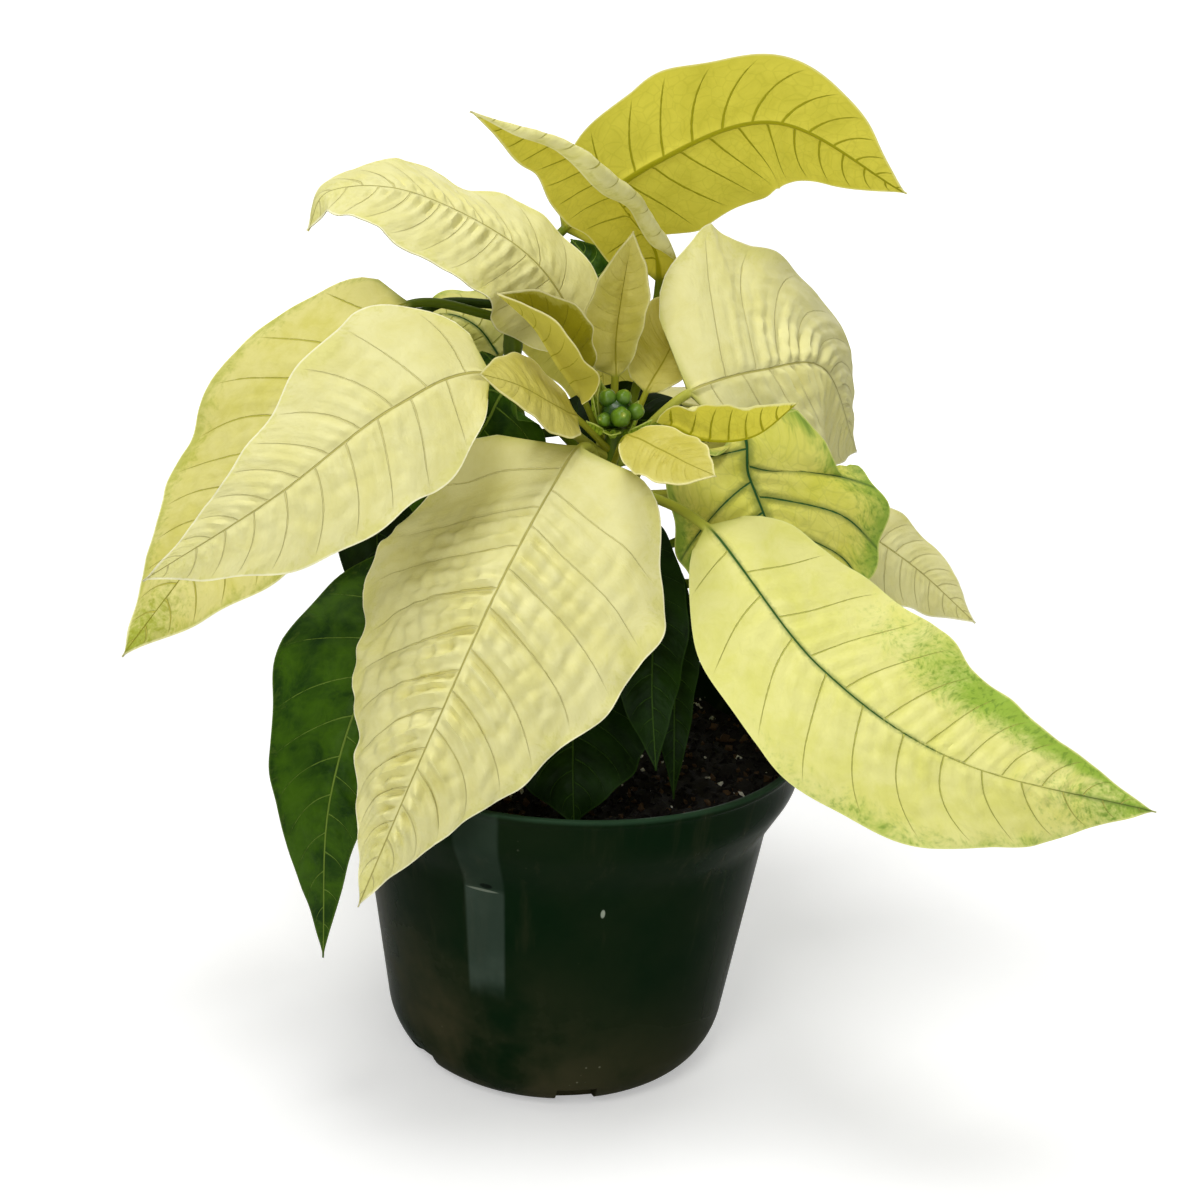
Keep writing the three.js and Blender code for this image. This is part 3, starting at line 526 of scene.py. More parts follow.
def leaf_markings():
    """Colour, glow of the underside, height (mm) and roughness of a leaf, read from its own attributes.

    The side veins lie where the attribute vein is a whole number, the midrib where rib is 0. A net of
    cell edges and fine pleats along the side veins fill the spaces between, and the margin's colour
    creeps inwards by an uneven amount.
    """
    inputs = [(label, "Color", (0.5, 0.5, 0.5)) for label in LEAF_COLOURS]
    inputs += [(label, "Float", value) for label, value in LEAF_VALUES.items()]
    outputs = [("Colour", "Color"), ("Glow", "Color"), ("Height", "Float"), ("Roughness", "Float")]
    tree, s, given, out = new_group("leaf markings", inputs, outputs)

    flat = s.node("ShaderNodeUVMap", uv_map="UVMap").outputs["UV"]
    rib, under = s.attribute("rib"), s.attribute("under")
    along = s.attribute("along")
    across = s.math("ABSOLUTE", s.attribute("across"))
    on_blade = s.span(along, -0.01, 0.03)

    # distances in mm to the midrib and to the nearest side vein, both a little uneven
    speck = s.noise(flat, SPECK_SCALE, 2.0, 0.7)
    centred = s.minus(speck, 0.5)
    vein_gap = s.times(s.math("PINGPONG", s.attribute("vein"), 0.5), s.attribute("pitch"))
    vein_gap = s.math("ABSOLUTE", s.plus(vein_gap, s.times(centred, 0.3)))
    vein_width = s.times(given["Vein Width"], s.minus(1.3, across))
    vein = s.span(vein_gap, s.times(vein_width, 0.3), vein_width, 1.0, 0.0)
    vein = s.times(vein, s.span(across, 0.75, 0.97, 1.0, 0.0))
    taper = s.minus(1.2, s.math("MAXIMUM", along, 0.0))
    midrib_width = s.times(given["Midrib Width"], taper)
    midrib = s.span(rib, s.times(midrib_width, 0.5), midrib_width, 1.0, 0.0)
    ribs = s.math("MAXIMUM", midrib, vein)
    cell = s.cells(flat, NET_SCALE)
    net = s.span(cell, 0.0, 0.08, 1.0, 0.0)
    net = s.times(s.times(net, given["Net Amount"]), s.span(across, 1.0, 0.85))

    # halos of colour that spread from the veins, and the margin's own colour with its dark specks
    blotch = s.noise(flat, BLOTCH_SCALE, 5.0, 0.65)
    spread = s.times(given["Halo Width"], s.plus(0.2, s.times(speck, 1.5)))
    spread = s.times(spread, s.minus(1.25, across))
    halo_gap = s.plus(s.times(vein_gap, 1.6), given["Halo Gap"])
    halo = s.span(s.math("MINIMUM", rib, halo_gap), 0.0, spread, 1.0, 0.0)
    fade = s.plus(along, s.times(centred, 0.5))
    fade = s.times(s.span(fade, 0.45, 0.66), given["Midrib Fade"])
    fade = s.times(fade, s.span(along, 0.76, 0.86, 1.0, 0.3))
    kept = s.minus(1.0, fade)
    halo = s.times(s.times(halo, given["Halo Amount"]), kept)
    left = s.span(s.attribute("across"), -0.05, 0.05, 0.5, -0.5)
    uneven = s.plus(across, s.times(s.minus(blotch, 0.5), 0.6))
    uneven = s.plus(uneven, s.times(centred, 0.35))
    uneven = s.plus(uneven, s.times(left, given["Margin Lean"]))
    start = s.span(s.plus(along, s.times(centred, 0.3)), given["Margin Start"],
                   s.plus(given["Margin Start"], 0.3))
    margin = s.times(s.span(uneven, given["Margin Reach"], 1.0), given["Margin Amount"])
    margin = s.times(margin, start)
    tip = s.plus(along, s.times(centred, 0.35))
    tip = s.times(s.span(tip, 0.74, 0.98), given["Tip Amount"])
    green = s.math("MAXIMUM", margin, tip, clamp=True)
    dark = s.times(s.times(green, s.span(speck, 0.5, 0.68)), 0.4)

    face = s.mix(s.span(blotch, 0.35, 0.7), given["Blade"], given["Mottle"])
    face = s.mix(green, face, given["Margin"])
    face = s.mix(s.math("MAXIMUM", dark, halo), face, given["Midrib"])
    face = s.mix(s.times(net, 0.35), face, given["Vein"])
    face = s.mix(vein, face, given["Vein"])
    face = s.mix(midrib, face, s.mix(fade, given["Midrib"], given["Vein"]))
    back = s.mix(s.times(s.span(blotch, 0.3, 0.75), 0.3), given["Under"], given["Under Vein"])
    back = s.mix(s.math("MAXIMUM", net, ribs), back, given["Under Vein"])
    blade = s.mix(under, face, back)
    edge = s.plus(s.attribute("edge"), s.times(centred, 0.3))
    blade = s.mix(s.span(edge, 0.1, 0.5, 0.8, 0.0), blade, given["Rim"])
    s.feed(out["Colour"], s.mix(on_blade, given["Petiole"], blade))
    s.feed(out["Glow"], s.mix(s.times(under, on_blade), (0.0, 0.0, 0.0), back))

    # sunk veins and pleats above, raised veins below, and a fine grain
    grain = s.times(centred, GRAIN_HEIGHT)
    pleats = {0: s.times(s.attribute("vein"), PLEATS[0]), 1: s.times(across, PLEATS[1])}
    pleat = s.noise(s.node("ShaderNodeCombineXYZ", pleats).outputs[0], 1.0, 2.0)
    lines = s.times(ribs, given["Vein Depth"])
    lines = s.minus(lines, s.times(pleat, given["Pleat"]))
    height = s.node("ShaderNodeMix", data_type="FLOAT")
    for key, value in ((0, under), (2, s.minus(grain, lines)), (3, s.plus(grain, lines))):
        s.feed(height.inputs[key], value)
    s.feed(out["Height"], s.times(height.outputs[0], on_blade))
    least, by_speck, by_under = LEAF_ROUGHNESS
    rough = s.plus(least, s.times(speck, by_speck))
    s.feed(out["Roughness"], s.plus(rough, s.times(under, by_under)))
    return tree


def new_material(name):
    """A material with a plain surface shader. Returns it, its builder and the surface's inputs."""
    material = bpy.data.materials.new(name)
    material.use_nodes = True
    material.node_tree.nodes.clear()
    shader = Shader(material.node_tree)
    surface = shader.node("ShaderNodeBsdfPrincipled")
    output = shader.node("ShaderNodeOutputMaterial")
    shader.feed(output.inputs["Surface"], surface.outputs[0])
    return material, shader, surface.inputs


# colours in display values, in the order of LEAF_COLOURS, and the values that differ from LEAF_VALUES
LEAF_LOOKS = {
    "cream": dict(
        colours=[(234, 229, 164), (226, 220, 144), (220, 213, 140), (190, 182, 100), (224, 221, 124),
                 (252, 249, 212), (180, 182, 70), (206, 198, 86), (164, 158, 34)],
        margin_reach=0.85, margin_amount=0.4, tip_amount=0.5,
    ),
    "yellow": dict(
        colours=[(226, 219, 138), (214, 207, 108), (194, 188, 78), (158, 154, 44), (166, 178, 56),
                 (246, 242, 182), (84, 104, 14), (204, 196, 62), (152, 148, 16)],
        margin_amount=0.45, tip_amount=0.95, vein_width=0.3,
    ),
    "young": dict(
        colours=[(212, 202, 106), (200, 190, 80), (203, 193, 86), (168, 159, 48), (222, 215, 128),
                 (240, 233, 168), (160, 162, 36), (206, 197, 70), (170, 162, 26)],
        margin_amount=0.6, tip_amount=0.2, vein_width=0.1, midrib_width=0.28,
        net_amount=0.04, pleat=0.22, vein_depth=0.06,
    ),
    "backlit": dict(
        colours=[(238, 233, 164), (228, 222, 132), (190, 184, 76), (150, 146, 24), (220, 216, 112),
                 (240, 236, 170), (108, 124, 26), (222, 213, 76), (158, 154, 10)],
        margin_reach=0.85, margin_amount=0.4, tip_amount=0.4, vein_width=0.32, midrib_width=0.9,
        net_amount=0.14, pleat=0.22,
    ),
    "glowing": dict(
        colours=[(160, 151, 10), (146, 138, 4), (134, 128, 2), (118, 114, 2), (204, 196, 84),
                 (246, 240, 182), (140, 146, 30), (198, 189, 78), (160, 153, 30)],
        margin_reach=0.86, margin_amount=0.6, tip_amount=0.4, vein_width=0.15, net_amount=0.05,
        pleat=0.12, vein_depth=0.06,
    ),
    "green_edged": dict(
        colours=[(238, 235, 148), (230, 228, 124), (198, 198, 92), (50, 98, 34), (146, 184, 54),
                 (232, 234, 146), (176, 182, 66), (196, 196, 76), (124, 140, 30)],
        margin_reach=0.58, margin_lean=0.36, margin_start=0.22, margin_amount=0.9, tip_amount=0.9,
        midrib_fade=1.0, halo_width=1.0, halo_amount=0.6, halo_gap=9.0, vein_width=0.18,
        midrib_width=0.27,
    ),
    "green_veined": dict(
        colours=[(222, 218, 110), (206, 204, 80), (44, 92, 40), (34, 82, 34), (104, 152, 44),
                 (206, 212, 116), (150, 164, 60), (168, 172, 60), (80, 112, 30)],
        margin_reach=0.68, margin_amount=0.75, tip_amount=0.9, halo_width=2.6, halo_amount=0.6,
        vein_width=0.22, midrib_width=0.4, net_amount=0.3,
    ),
    "green": dict(
        colours=[(58, 92, 5), (20, 50, 3), (96, 124, 44), (108, 132, 48), (16, 44, 4),
                 (76, 104, 30), (92, 112, 24), (84, 116, 56), (136, 156, 92)],
        margin_reach=0.85, margin_amount=0.5, midrib_width=0.45, pleat=0.16,
    ),
    # the green look darkened with painted shade, for leaves that lie in deep shade
    "deep_green": dict(
        colours=[(22, 46, 4), (8, 26, 2), (40, 66, 16), (50, 76, 22), (8, 26, 3),
                 (34, 58, 14), (46, 66, 12), (52, 80, 34), (90, 112, 62)],
        margin_reach=0.85, margin_amount=0.5, midrib_width=0.45, pleat=0.16,
    ),
    "bractlet": dict(
        colours=[(158, 180, 46), (138, 164, 32), (124, 150, 30), (112, 140, 26), (186, 200, 78),
                 (204, 214, 110), (120, 150, 32), (160, 184, 46), (126, 152, 30)],
        net_amount=0.05, pleat=0.08,
    ),
}
DARK_LOOKS = ("green", "deep_green")
GLOW, DARK_GLOW = 0.14, 0.02         # light that comes through to the underside
SHINE, DARK_SHINE = 0.18, 0.1


def leaf_material(name, markings):
    """Satin leaf tissue whose underside glows a little. Dark blades glow and shine less than pale ones."""
    material, s, surface = new_material(f"{name}_leaf")
    group = s.node("ShaderNodeGroup", node_tree=markings)
    look = dict(LEAF_LOOKS[name])
    for label, colour in zip(LEAF_COLOURS, look.pop("colours")):
        s.feed(group.inputs[label], srgb(*colour))
    for key, value in look.items():
        s.feed(group.inputs[key.replace("_", " ").title()], value)
    s.feed(surface["Base Color"], group.outputs["Colour"])
    s.feed(surface["Roughness"], group.outputs["Roughness"])
    s.feed(surface["Normal"], s.bump(group.outputs["Height"], MM))
    s.feed(surface["Emission Color"], group.outputs["Glow"])
    surface["Emission Strength"].default_value = DARK_GLOW if name in DARK_LOOKS else GLOW
    surface["Specular IOR Level"].default_value = DARK_SHINE if name in DARK_LOOKS else SHINE
    return material


# ---- leaves -----------------------------------------------------------------------------------

STALK_BLEND = 0.12               # share of the blade over which the round petiole flattens
RIB_TAPER = 0.8
TIP_SHARPNESS = 1.2
STALK_ROWS = 14
VEIN_PACE = 1.15                 # above 1, the side veins stand further apart towards the base
COLLAR = 2.4                     # how far the petiole runs on into the stem
VEIN_LEAN = 0.8                  # how far the side veins lean forward, in half-widths
SCALLOP = (0.03, 5)              # depth of the margin's shallow bays, in half-widths, and their number
RUFFLE = 0.4                     # height of the margin's ruffles, in heights of a pillow
PETIOLE_SWELL = 0.35             # how much wider the petiole is at the stem, in its own radius
GROOVE, RIDGE = 0.35, 0.9        # depth above the midrib and height below it
RIM_THINNING = 0.45              # how much thinner the blade is at its margin


def half_width(t, widest, full, roundness):
    """(1 - (1 - t/widest)^2)^roundness up to the widest place, then (1 - run^full)^1.2 to the tip."""
    rise = 1 - np.clip(t / widest, 0, 1)
    run = np.clip((t - widest) / (1 - widest), 0, 1)
    return np.where(t < widest, (1 - rise**2) ** roundness, (1 - run**full) ** TIP_SHARPNESS)


def bump_at(place, centre, width):
    """A bell at the same place between every two veins: exp(-(d / width)^2), d away from its centre."""
    return np.exp(-(((place - centre + 0.5) % 1.0 - 0.5) / width) ** 2)


def petiole_start(own):
    """The point where the petiole's end clears the stem's side.

    It lies (branch radius + gap + petiole radius cos q) / sin q from the stem's middle, where q is the
    angle between the petiole and the stem.
    """
    stem = Rail(STEM_CURVES[own["stem"]])
    share = np.interp(own["at"], stem.points[:, 2], stem.share)
    point, direction = stem.at(np.array([share]))
    way = unit(np.array(own["rib"][0]) - point[0])
    cosine = abs(float(way @ direction[0]))
    sine = math.sqrt(max(1 - cosine**2, 0.06))
    return point[0] + way * (BRANCH_RADIUS + GAP + own["stalk"] * cosine) / sine


def leaf_half(own, rail, hand, seed):
    """One half of a leaf's two sheets, from the midrib out.

    The rows follow the side veins: t = v + lean g(v) (0.55 c + 0.45 c^2), where v runs along the midrib,
    c from it to the margin, and g = v^0.8 (1 - v)^0.9 / 0.56. At share a of the way out the blade is a
    line of slope fold + curl a + roll w(a), summed outwards, with waves in its margin. Between two side
    veins (place f = 0..1) it swells by 0.6 sin(pi f^0.8)^1.4 + 0.4 sin(pi f)^0.5, sinks in a pocket just
    past each vein by the midrib, and is creased by short veins, by furrows along it and by a ladder of
    cross veins. The sheets lie half a thickness above and below, and a rounded ridge runs under the
    midrib.
    """
    k = 0 if hand < 0 else 1
    stalk, quilt = own["stalk"], own["quilt"]
    blade_run = rail.total * (1 - rail.second)
    foot = np.linspace(-COLLAR / rail.total, rail.second, STALK_ROWS, endpoint=False)
    blade = np.linspace(0, 1, own["veins"] * own["steps"] + 1) ** (1 / VEIN_PACE)
    v = np.concatenate([(foot - rail.second) / (1 - rail.second), blade])[:, None]
    c = np.linspace(0, 1, own["columns"])[None, :]
    on = np.clip(v, 0, 1)
    lean = VEIN_LEAN * own["half"][k] / blade_run
    arch = (on**0.8 * (1 - on) ** 0.9) / 0.56
    t = v + lean * arch * (0.55 * c + 0.45 * c**2)
    t = np.minimum(t, 1)
    s = rail.second + t * (1 - rail.second)
    centre, along = rail.at(s)
    inside = np.clip(t, 0, 1)
    face = lerp(unit(own["face"][0]), unit(own["face"][1]), inside[..., None])
    side = unit(np.cross(along, face))
    normal = np.cross(side, along)

    blend = smoothstep(t, 0, STALK_BLEND)
    rib_half = stalk * (1 - RIB_TAPER * inside)
    h = np.where(t > 0, half_width(inside, own["widest"][k], own["full"][k], own["round"]), 0)
    scallop = 1 + SCALLOP[0] * np.sin(TURN * (SCALLOP[1] * inside + 0.37 * k))
    width = np.maximum(own["half"][k] * h * scallop, rib_half)
    share = lerp(np.sin(c * math.pi / 2), c**1.1, blend)
    distance = width * share
    fold = math.radians(own["fold"][k]) * blend
    curl = math.radians(own["curl"][k]) * blend
    slope = fold + curl * share + math.radians(own["roll"][k]) * blend * smoothstep(share, 0.5, 1)
    step, turn = np.diff(share, axis=1), (slope[:, 1:] + slope[:, :-1]) / 2
    out = np.pad(np.cumsum(np.cos(turn) * step, axis=1), ((0, 0), (1, 0)))
    rise = np.pad(np.cumsum(np.sin(turn) * step, axis=1), ((0, 0), (1, 0)))
    height, count, phase = own["wave"]
    wave = height * share**2 * h * np.sin(TURN * (count * t + phase + 0.3 * k))
    sweep = own["sweep"][0] * share**2 * width * (t - own["sweep"][1]) * blend

    # pillows between the side veins, pockets by the midrib, short veins and a ladder of cross veins
    x, y = hand * distance + 40, t * blade_run
    vein = own["veins"] * on**VEIN_PACE + (0.5 if hand > 0 else 0) + 0.05 * ripple(x, y, 30, seed + 3)
    place, number = vein % 1.0, np.floor(vein)
    pillow = 0.6 * np.sin(math.pi * place**0.8) ** 1.4 + 0.4 * np.sin(math.pi * place) ** 0.5
    pocket = (bump_at(place, 0.14, 0.1) - 0.5 * bump_at(place, 0.8, 0.16)) * np.exp(-(share / 0.32) ** 2)
    short = bump_at(place, 0.5 + 0.06 * np.sin(5 * number + seed), 0.07) * smoothstep(share, 0.65, 0.15)
    furrow = np.sin(TURN * (2.5 * place + 0.3 * np.sin(7 * number + seed))) * np.exp(-(share / 0.5) ** 2)
    rung = distance / 4.8 + 0.6 * place + np.sin(12.9 * number + seed) + 0.25 * ripple(x, y, 18, seed + 5)
    ladder = bump_at(rung, 0.5, 0.2) * smoothstep(share, 0.08, 0.35)
    strength = smoothstep(distance, 0.2, 2.0) * (1 - 0.75 * share**2) * smoothstep(inside, 0.03, 0.36)
    strength *= smoothstep(1 - inside, 0, 0.25)
    within = 0.5 * furrow - 0.3 * ladder + 0.24 * ripple(x, y, 5, seed)
    relief = 0.8 * pillow - 0.9 * pocket - 0.3 * short + np.sqrt(pillow) * within
    relief *= quilt * strength
    ruffle = RUFFLE * quilt * share**3 * ripple(x, y, 13, seed + 2) * blend
    groove = -GROOVE * np.exp(-(distance / 1.1) ** 2) * blend * (1 - inside)

    local = normal * np.cos(slope)[..., None] - hand * side * np.sin(slope)[..., None]
    middle = centre + side * (hand * width * out)[..., None] + normal * (width * rise + wave)[..., None]
    middle += along * sweep[..., None] + local * (relief + ruffle + groove)[..., None]
    round_half = stalk * np.sqrt(np.clip(1 - (distance / stalk) ** 2, 0, 1))
    swell = 1 + PETIOLE_SWELL * np.exp(-((t + rail.second / (1 - rail.second)) * blade_run / 1.6) ** 2)
    thin = BLADE / 2 * (1 - RIM_THINNING * share)
    edge = lerp(np.maximum(round_half, 0.04), thin, blend)
    ridge = RIDGE * (1 - inside) * np.sqrt(np.clip(1 - (distance / (rib_half * 1.4)) ** 2, 0, 1)) * blend
    swell = np.where(t < 0, swell, 1)
    up, down = (edge * swell)[..., None], ((edge + ridge) * swell)[..., None]
    pitch = 0.85 * blade_run / (own["veins"] * VEIN_PACE * np.maximum(on, 0.05) ** (VEIN_PACE - 1))
    values = {
        "along": np.where(v < 0, v, on) + 0 * c, "across": hand * share, "vein": vein, "rib": distance,
        "pitch": pitch + 0 * t, "edge": width * (1 - share),
    }
    drift = np.stack([ripple(x, y, 11, seed + 7), ripple(x, y, 11, seed + 8)], -1)
    return middle + local * up, middle - local * down, values, (np.stack([x, y], -1) + 0.9 * drift) / 100


def leaf_piece(name, own, seed, start, material):
    """Both halves of a leaf joined along the midrib, with their rim, as one closed mesh."""
    rail = Rail([start, *own["rib"]])
    left = leaf_half(own, rail, -1, seed)
    right = leaf_half(own, rail, 1, seed)

    def across(a, b):
        return np.concatenate([a[:, :0:-1], b], axis=1)

    upper, lower = across(left[0], right[0]), across(left[1], right[1])
    rows, columns = upper.shape[:2]
    points = np.vstack([upper.reshape(-1, 3), lower.reshape(-1, 3)])
    attributes = {k: np.tile(across(left[2][k], right[2][k]).ravel(), 2) for k in left[2]}
    attributes["under"] = np.repeat((0.0, 1.0), rows * columns)
    uv = np.tile((across(left[3], right[3]) + (0.37 * seed, 0.21 * seed)).reshape(-1, 2), (2, 1))
    below = rows * columns
    top = grid_faces(rows, columns)
    bottom = top[:, ::-1] + below
    first, last = np.arange(columns), np.arange(columns) + (rows - 1) * columns
    left_edge, right_edge = np.arange(rows) * columns, np.arange(rows) * columns + columns - 1
    rim = np.concatenate([first[:-1], right_edge[:-1], last[:0:-1], left_edge[:0:-1]])
    after = np.roll(rim, -1)
    edge = np.stack([rim, rim + below, after + below, after], -1)
    return make_mesh(name, points, [top, bottom, edge], material, attributes, uv)


def build_leaves():
    """Every leaf of the table. Leaves of one look share its material."""
    markings = leaf_markings()
    materials = {name: leaf_material(name, markings) for name in LEAF_LOOKS}
    slots = {item["node"]: item["material_slot"] for item in frame["record"]["subparts"]}
    for seed, (name, own) in enumerate(LEAVES.items(), start=1):
        piece = leaf_piece(f"{name}_blade", own, seed, petiole_start(own), materials[own["look"]])
        settle(piece, slots[name], name)
    return materials


# ---- stems ------------------------------------------------------------------------------------

BARK_TOP = (0.088, 0.108)        # metres up, where the bark gives way to green skin
JOINT_HEIGHT, JOINT_REACH = 0.32, 1.8        # the swelling where a petiole leaves a branch


def stem_material():
    """Finely streaked green skin with darker patches, which turns brown and corky towards the foot."""
    material, s, surface = new_material("stem_skin")
    where = s.place()
    height = s.node("ShaderNodeSeparateXYZ", {0: where}).outputs["Z"]
    streak = s.node("ShaderNodeMapping", {"Vector": where, "Scale": (1.0, 1.0, 0.18)}).outputs[0]
    grain = s.noise(streak, 900.0, 4.0, 0.6)
    patch = s.noise(where, 120.0, 3.0)
    green = s.mix(grain, srgb(66, 96, 16), srgb(116, 138, 34))
    green = s.mix(s.span(patch, 0.5, 0.8), green, srgb(40, 66, 16))
    bark = s.mix(grain, srgb(78, 62, 38), srgb(128, 112, 74))
    low = s.plus(height, s.times(s.minus(patch, 0.5), 0.03))
    s.feed(surface["Base Color"], s.mix(s.span(low, *BARK_TOP), bark, green))
    s.feed(surface["Roughness"], s.span(low, *BARK_TOP, 0.85, 0.42))
    s.feed(surface["Normal"], s.bump(grain, 0.3 * MM, 0.8))
    surface["Specular IOR Level"].default_value = 0.4
    return material


def build_stems():
    """The trunk and its two branches, which swell where a petiole leaves them.

    At share s of its length a branch has the radius BRANCH_RADIUS (1.12 - 0.2 s) (1 + 0.02 sin 5a), and
    at each petiole a bell exp(-(d / JOINT_REACH)^2) of JOINT_HEIGHT on top. The trunk has 7 and 17 fine
    ribs and a flare at s = 0.72. It and the rear branch end in a dome: reach sqrt(1 - (2s - 1)^2).
    """
    def swollen(stem_name):
        rail = Rail(STEM_CURVES[stem_name])
        heights = [own["at"] for own in LEAVES.values() if own["stem"] == stem_name]
        places = np.interp(heights, rail.points[:, 2], rail.share)

        def radius(s, a):
            joints = np.exp(-((s[..., None] - places) * rail.total / JOINT_REACH) ** 2).max(-1)
            taper = 1.12 - 0.2 * s
            return BRANCH_RADIUS * taper * (1 + 0.02 * np.sin(5 * a)) + JOINT_HEIGHT * joints
        return radius

    def bark(s, a):
        flare = 0.35 * np.exp(-((s - 0.72) / 0.1) ** 2)
        ribs = 0.12 * np.sin(7 * a + 9 * s) + 0.08 * np.sin(17 * a - 31 * s)
        return TRUNK_RADIUS - 0.35 + flare + ribs

    def dome(reach):
        return lambda s, a: reach * np.sqrt(np.clip(1 - (2 * s - 1) ** 2, 0.0004, 1))

    parts = [
        tube([(0, 0, 60), (0, 0, 72), (0, 0.5, 92)], bark, 40, 40),
        tube([(0, 0.5, 87.4), (0, 0.5, 92), (0, 0.5, 96.6)], dome(TRUNK_RADIUS * 1.04), 40, 24),
        tube(STEM_CURVES["front"], swollen("front"), 24, 120),
        tube(STEM_CURVES["rear"], swollen("rear"), 24, 150),
        tube([(-19, 19.8, 191.6), (-19, 20, 194), (-19, 20.2, 196.4)], dome(2.4), 20, 16),
    ]
    points, faces, _ = joined([(*part, 0.0) for part in parts])
    settle(make_mesh("forked_stem", points, faces, stem_material()), "stem", "stems")


# ---- flower head ------------------------------------------------------------------------------

# each cup's place from the head's middle, and its radius
BUDS = [
    ((1.2, -4.8, -0.2), 2.4), ((-2.5, -3.3, -1.4), 1.7), ((-2, -1.2, 3.3), 2.1),
    ((4.6, -1.8, 0.6), 2.0), ((1.8, 3.4, 1.2), 1.9), ((1.6, -1.2, 3.6), 1.9),
]
BUD_ROWS, BUD_SIDES = 22, 30
BUD_LENGTH, BUD_DIMPLE = 1.14, 0.2       # in radii
HEAD_CORE = 3.5
RING_RADIUS = 2.2
# azimuth in degrees, then how far out and how far up the tip lies
BRACTLETS = [(165, 4, 9), (130, 4, 11), (32, 4, 7), (338, 7, 4), (215, 6, 3), (264, 7, 1)]


def bud_skin(centre, axis, radius):
    """An egg round an axis: r = radius sin(q) (1 + (0.05 + 0.04 crown) rise cos 5a) (1 - 0.12 crown).

    q runs from the foot to the crown, and the crown sinks by a small puckered dimple. Five ribs run up it.
    """
    q = np.linspace(0.001, math.pi - 0.001, BUD_ROWS)[:, None]
    a = around(BUD_SIDES)[None, :]
    crown = smoothstep(q, 2.1, 3.0)
    ribs = (0.05 + 0.04 * crown) * smoothstep(q, 0.9, 1.9) * np.cos(5 * a)
    r = radius * np.sin(q) * (1 + ribs) * (1 - 0.12 * crown)
    z = -radius * BUD_LENGTH * np.cos(q) - radius * BUD_DIMPLE * smoothstep(q, 2.8, 3.14) + 0 * a
    axis = unit(axis)
    side = unit(np.cross(axis, (0.3, 0.1, 0.94)))
    other = np.cross(axis, side)
    spin = r[..., None] * (np.cos(a)[..., None] * side + np.sin(a)[..., None] * other)
    skin = np.asarray(centre) + spin + z[..., None] * axis
    return skin.reshape(-1, 3), capped(BUD_ROWS, BUD_SIDES), (q / math.pi + 0 * a).ravel()


def bud_material():
    """Bright green cups, yellow-green at the crown with a painted cream highlight at its very top, and a
    faint waxy coat.
    """
    material, s, surface = new_material("bud_skin")
    where = s.place()
    crown = s.attribute("crown")
    speck = s.noise(where, 1800.0, 3.0)
    body = s.mix(s.span(crown, 0.3, 0.75), srgb(30, 70, 12), srgb(112, 150, 28))
    body = s.mix(s.times(speck, 0.4), body, srgb(78, 120, 22))
    # a painted cream highlight on the very top of each crown
    s.feed(surface["Base Color"], s.mix(s.span(crown, 0.86, 0.99), body, srgb(176, 188, 66)))
    s.feed(surface["Roughness"], s.plus(0.28, s.times(speck, 0.15)))
    s.feed(surface["Normal"], s.bump(speck, 0.1 * MM, 0.5))
    surface["Coat Weight"].default_value = 0.15
    return material


def build_flower_head():
    """The cups of the head on their small dome, as one cluster."""
    skin, faces, crown = bud_skin(HEAD, (0.1, -0.3, 1), HEAD_CORE)
    parts = [(skin, faces, 0.3 * crown)]
    parts += [bud_skin(HEAD + np.array(at), np.array(at) + (0, 0, 2.4), radius) for at, radius in BUDS]
    points, faces, crown = joined(parts)
    piece = make_mesh("bud_cluster", points, faces, bud_material(), {"crown": crown}, sharp=70)
    settle(piece, "bud", "flower_buds")


def build_bractlets(blade_material):
    """Six narrow blades, each a small leaf of the same formula, on a ring of radius RING_RADIUS + 0.8 s."""
    foot = HEAD[2] - HEAD_CORE - GAP
    axis = [(HEAD[0], HEAD[1], foot - drop) for drop in (1.2, 0.6, 0)]
    skin, faces = tube(axis, lambda s, a: RING_RADIUS + 0.8 * s, 28, 4)
    for seed, (azimuth, reach, rise) in enumerate(BRACTLETS, start=50):
        way = np.array((math.cos(math.radians(azimuth)), math.sin(math.radians(azimuth)), 0))

        def point(out, up):
            return np.array((HEAD[0], HEAD[1], foot - 0.9 + up)) + way * out

        rib = [point(RING_RADIUS + 1.4, 0.3), point(RING_RADIUS + 0.7 * reach, 0.45 * rise),
               point(RING_RADIUS + reach, rise)]
        own = leaf(
            SMALL, None, 2.3, rib, (-way[0], -way[1], 0.8), stalk=0.7, wave=(0, 1, 0), fold=20,
            quilt=0.06, veins=5, steps=6, columns=10,
        )
        blade = leaf_piece(f"bractlet_{azimuth}", own, seed, point(RING_RADIUS - 1, 0), blade_material)
        settle(blade, "bractlet", "flower_bractlets")
    settle(make_mesh("bractlet_ring", skin, faces, stem_material()), "bractlet", "flower_bractlets")


# ---- pot --------------------------------------------------------------------------------------

def rounded(points, radius, steps):
    """A profile with each inner corner bent: (1 - w)^2 enter + 2 w (1 - w) corner + w^2 leave.

    enter and leave lie that radius before and after the corner, or 0.45 of the way to the next point.
    """
    points = np.asarray(points, float)
    path = [points[0]]
    w = np.linspace(0, 1, steps)[:, None]
    for before, corner, after in zip(points[:-2], points[1:-1], points[2:]):
        reach_in = min(radius, 0.45 * np.linalg.norm(before - corner))
        reach_out = min(radius, 0.45 * np.linalg.norm(after - corner))
        enter = corner + unit(before - corner) * reach_in
        leave = corner + unit(after - corner) * reach_out
        path += list((1 - w) ** 2 * enter + 2 * w * (1 - w) * corner + w**2 * leave)
    return np.array([*path, points[-1]])


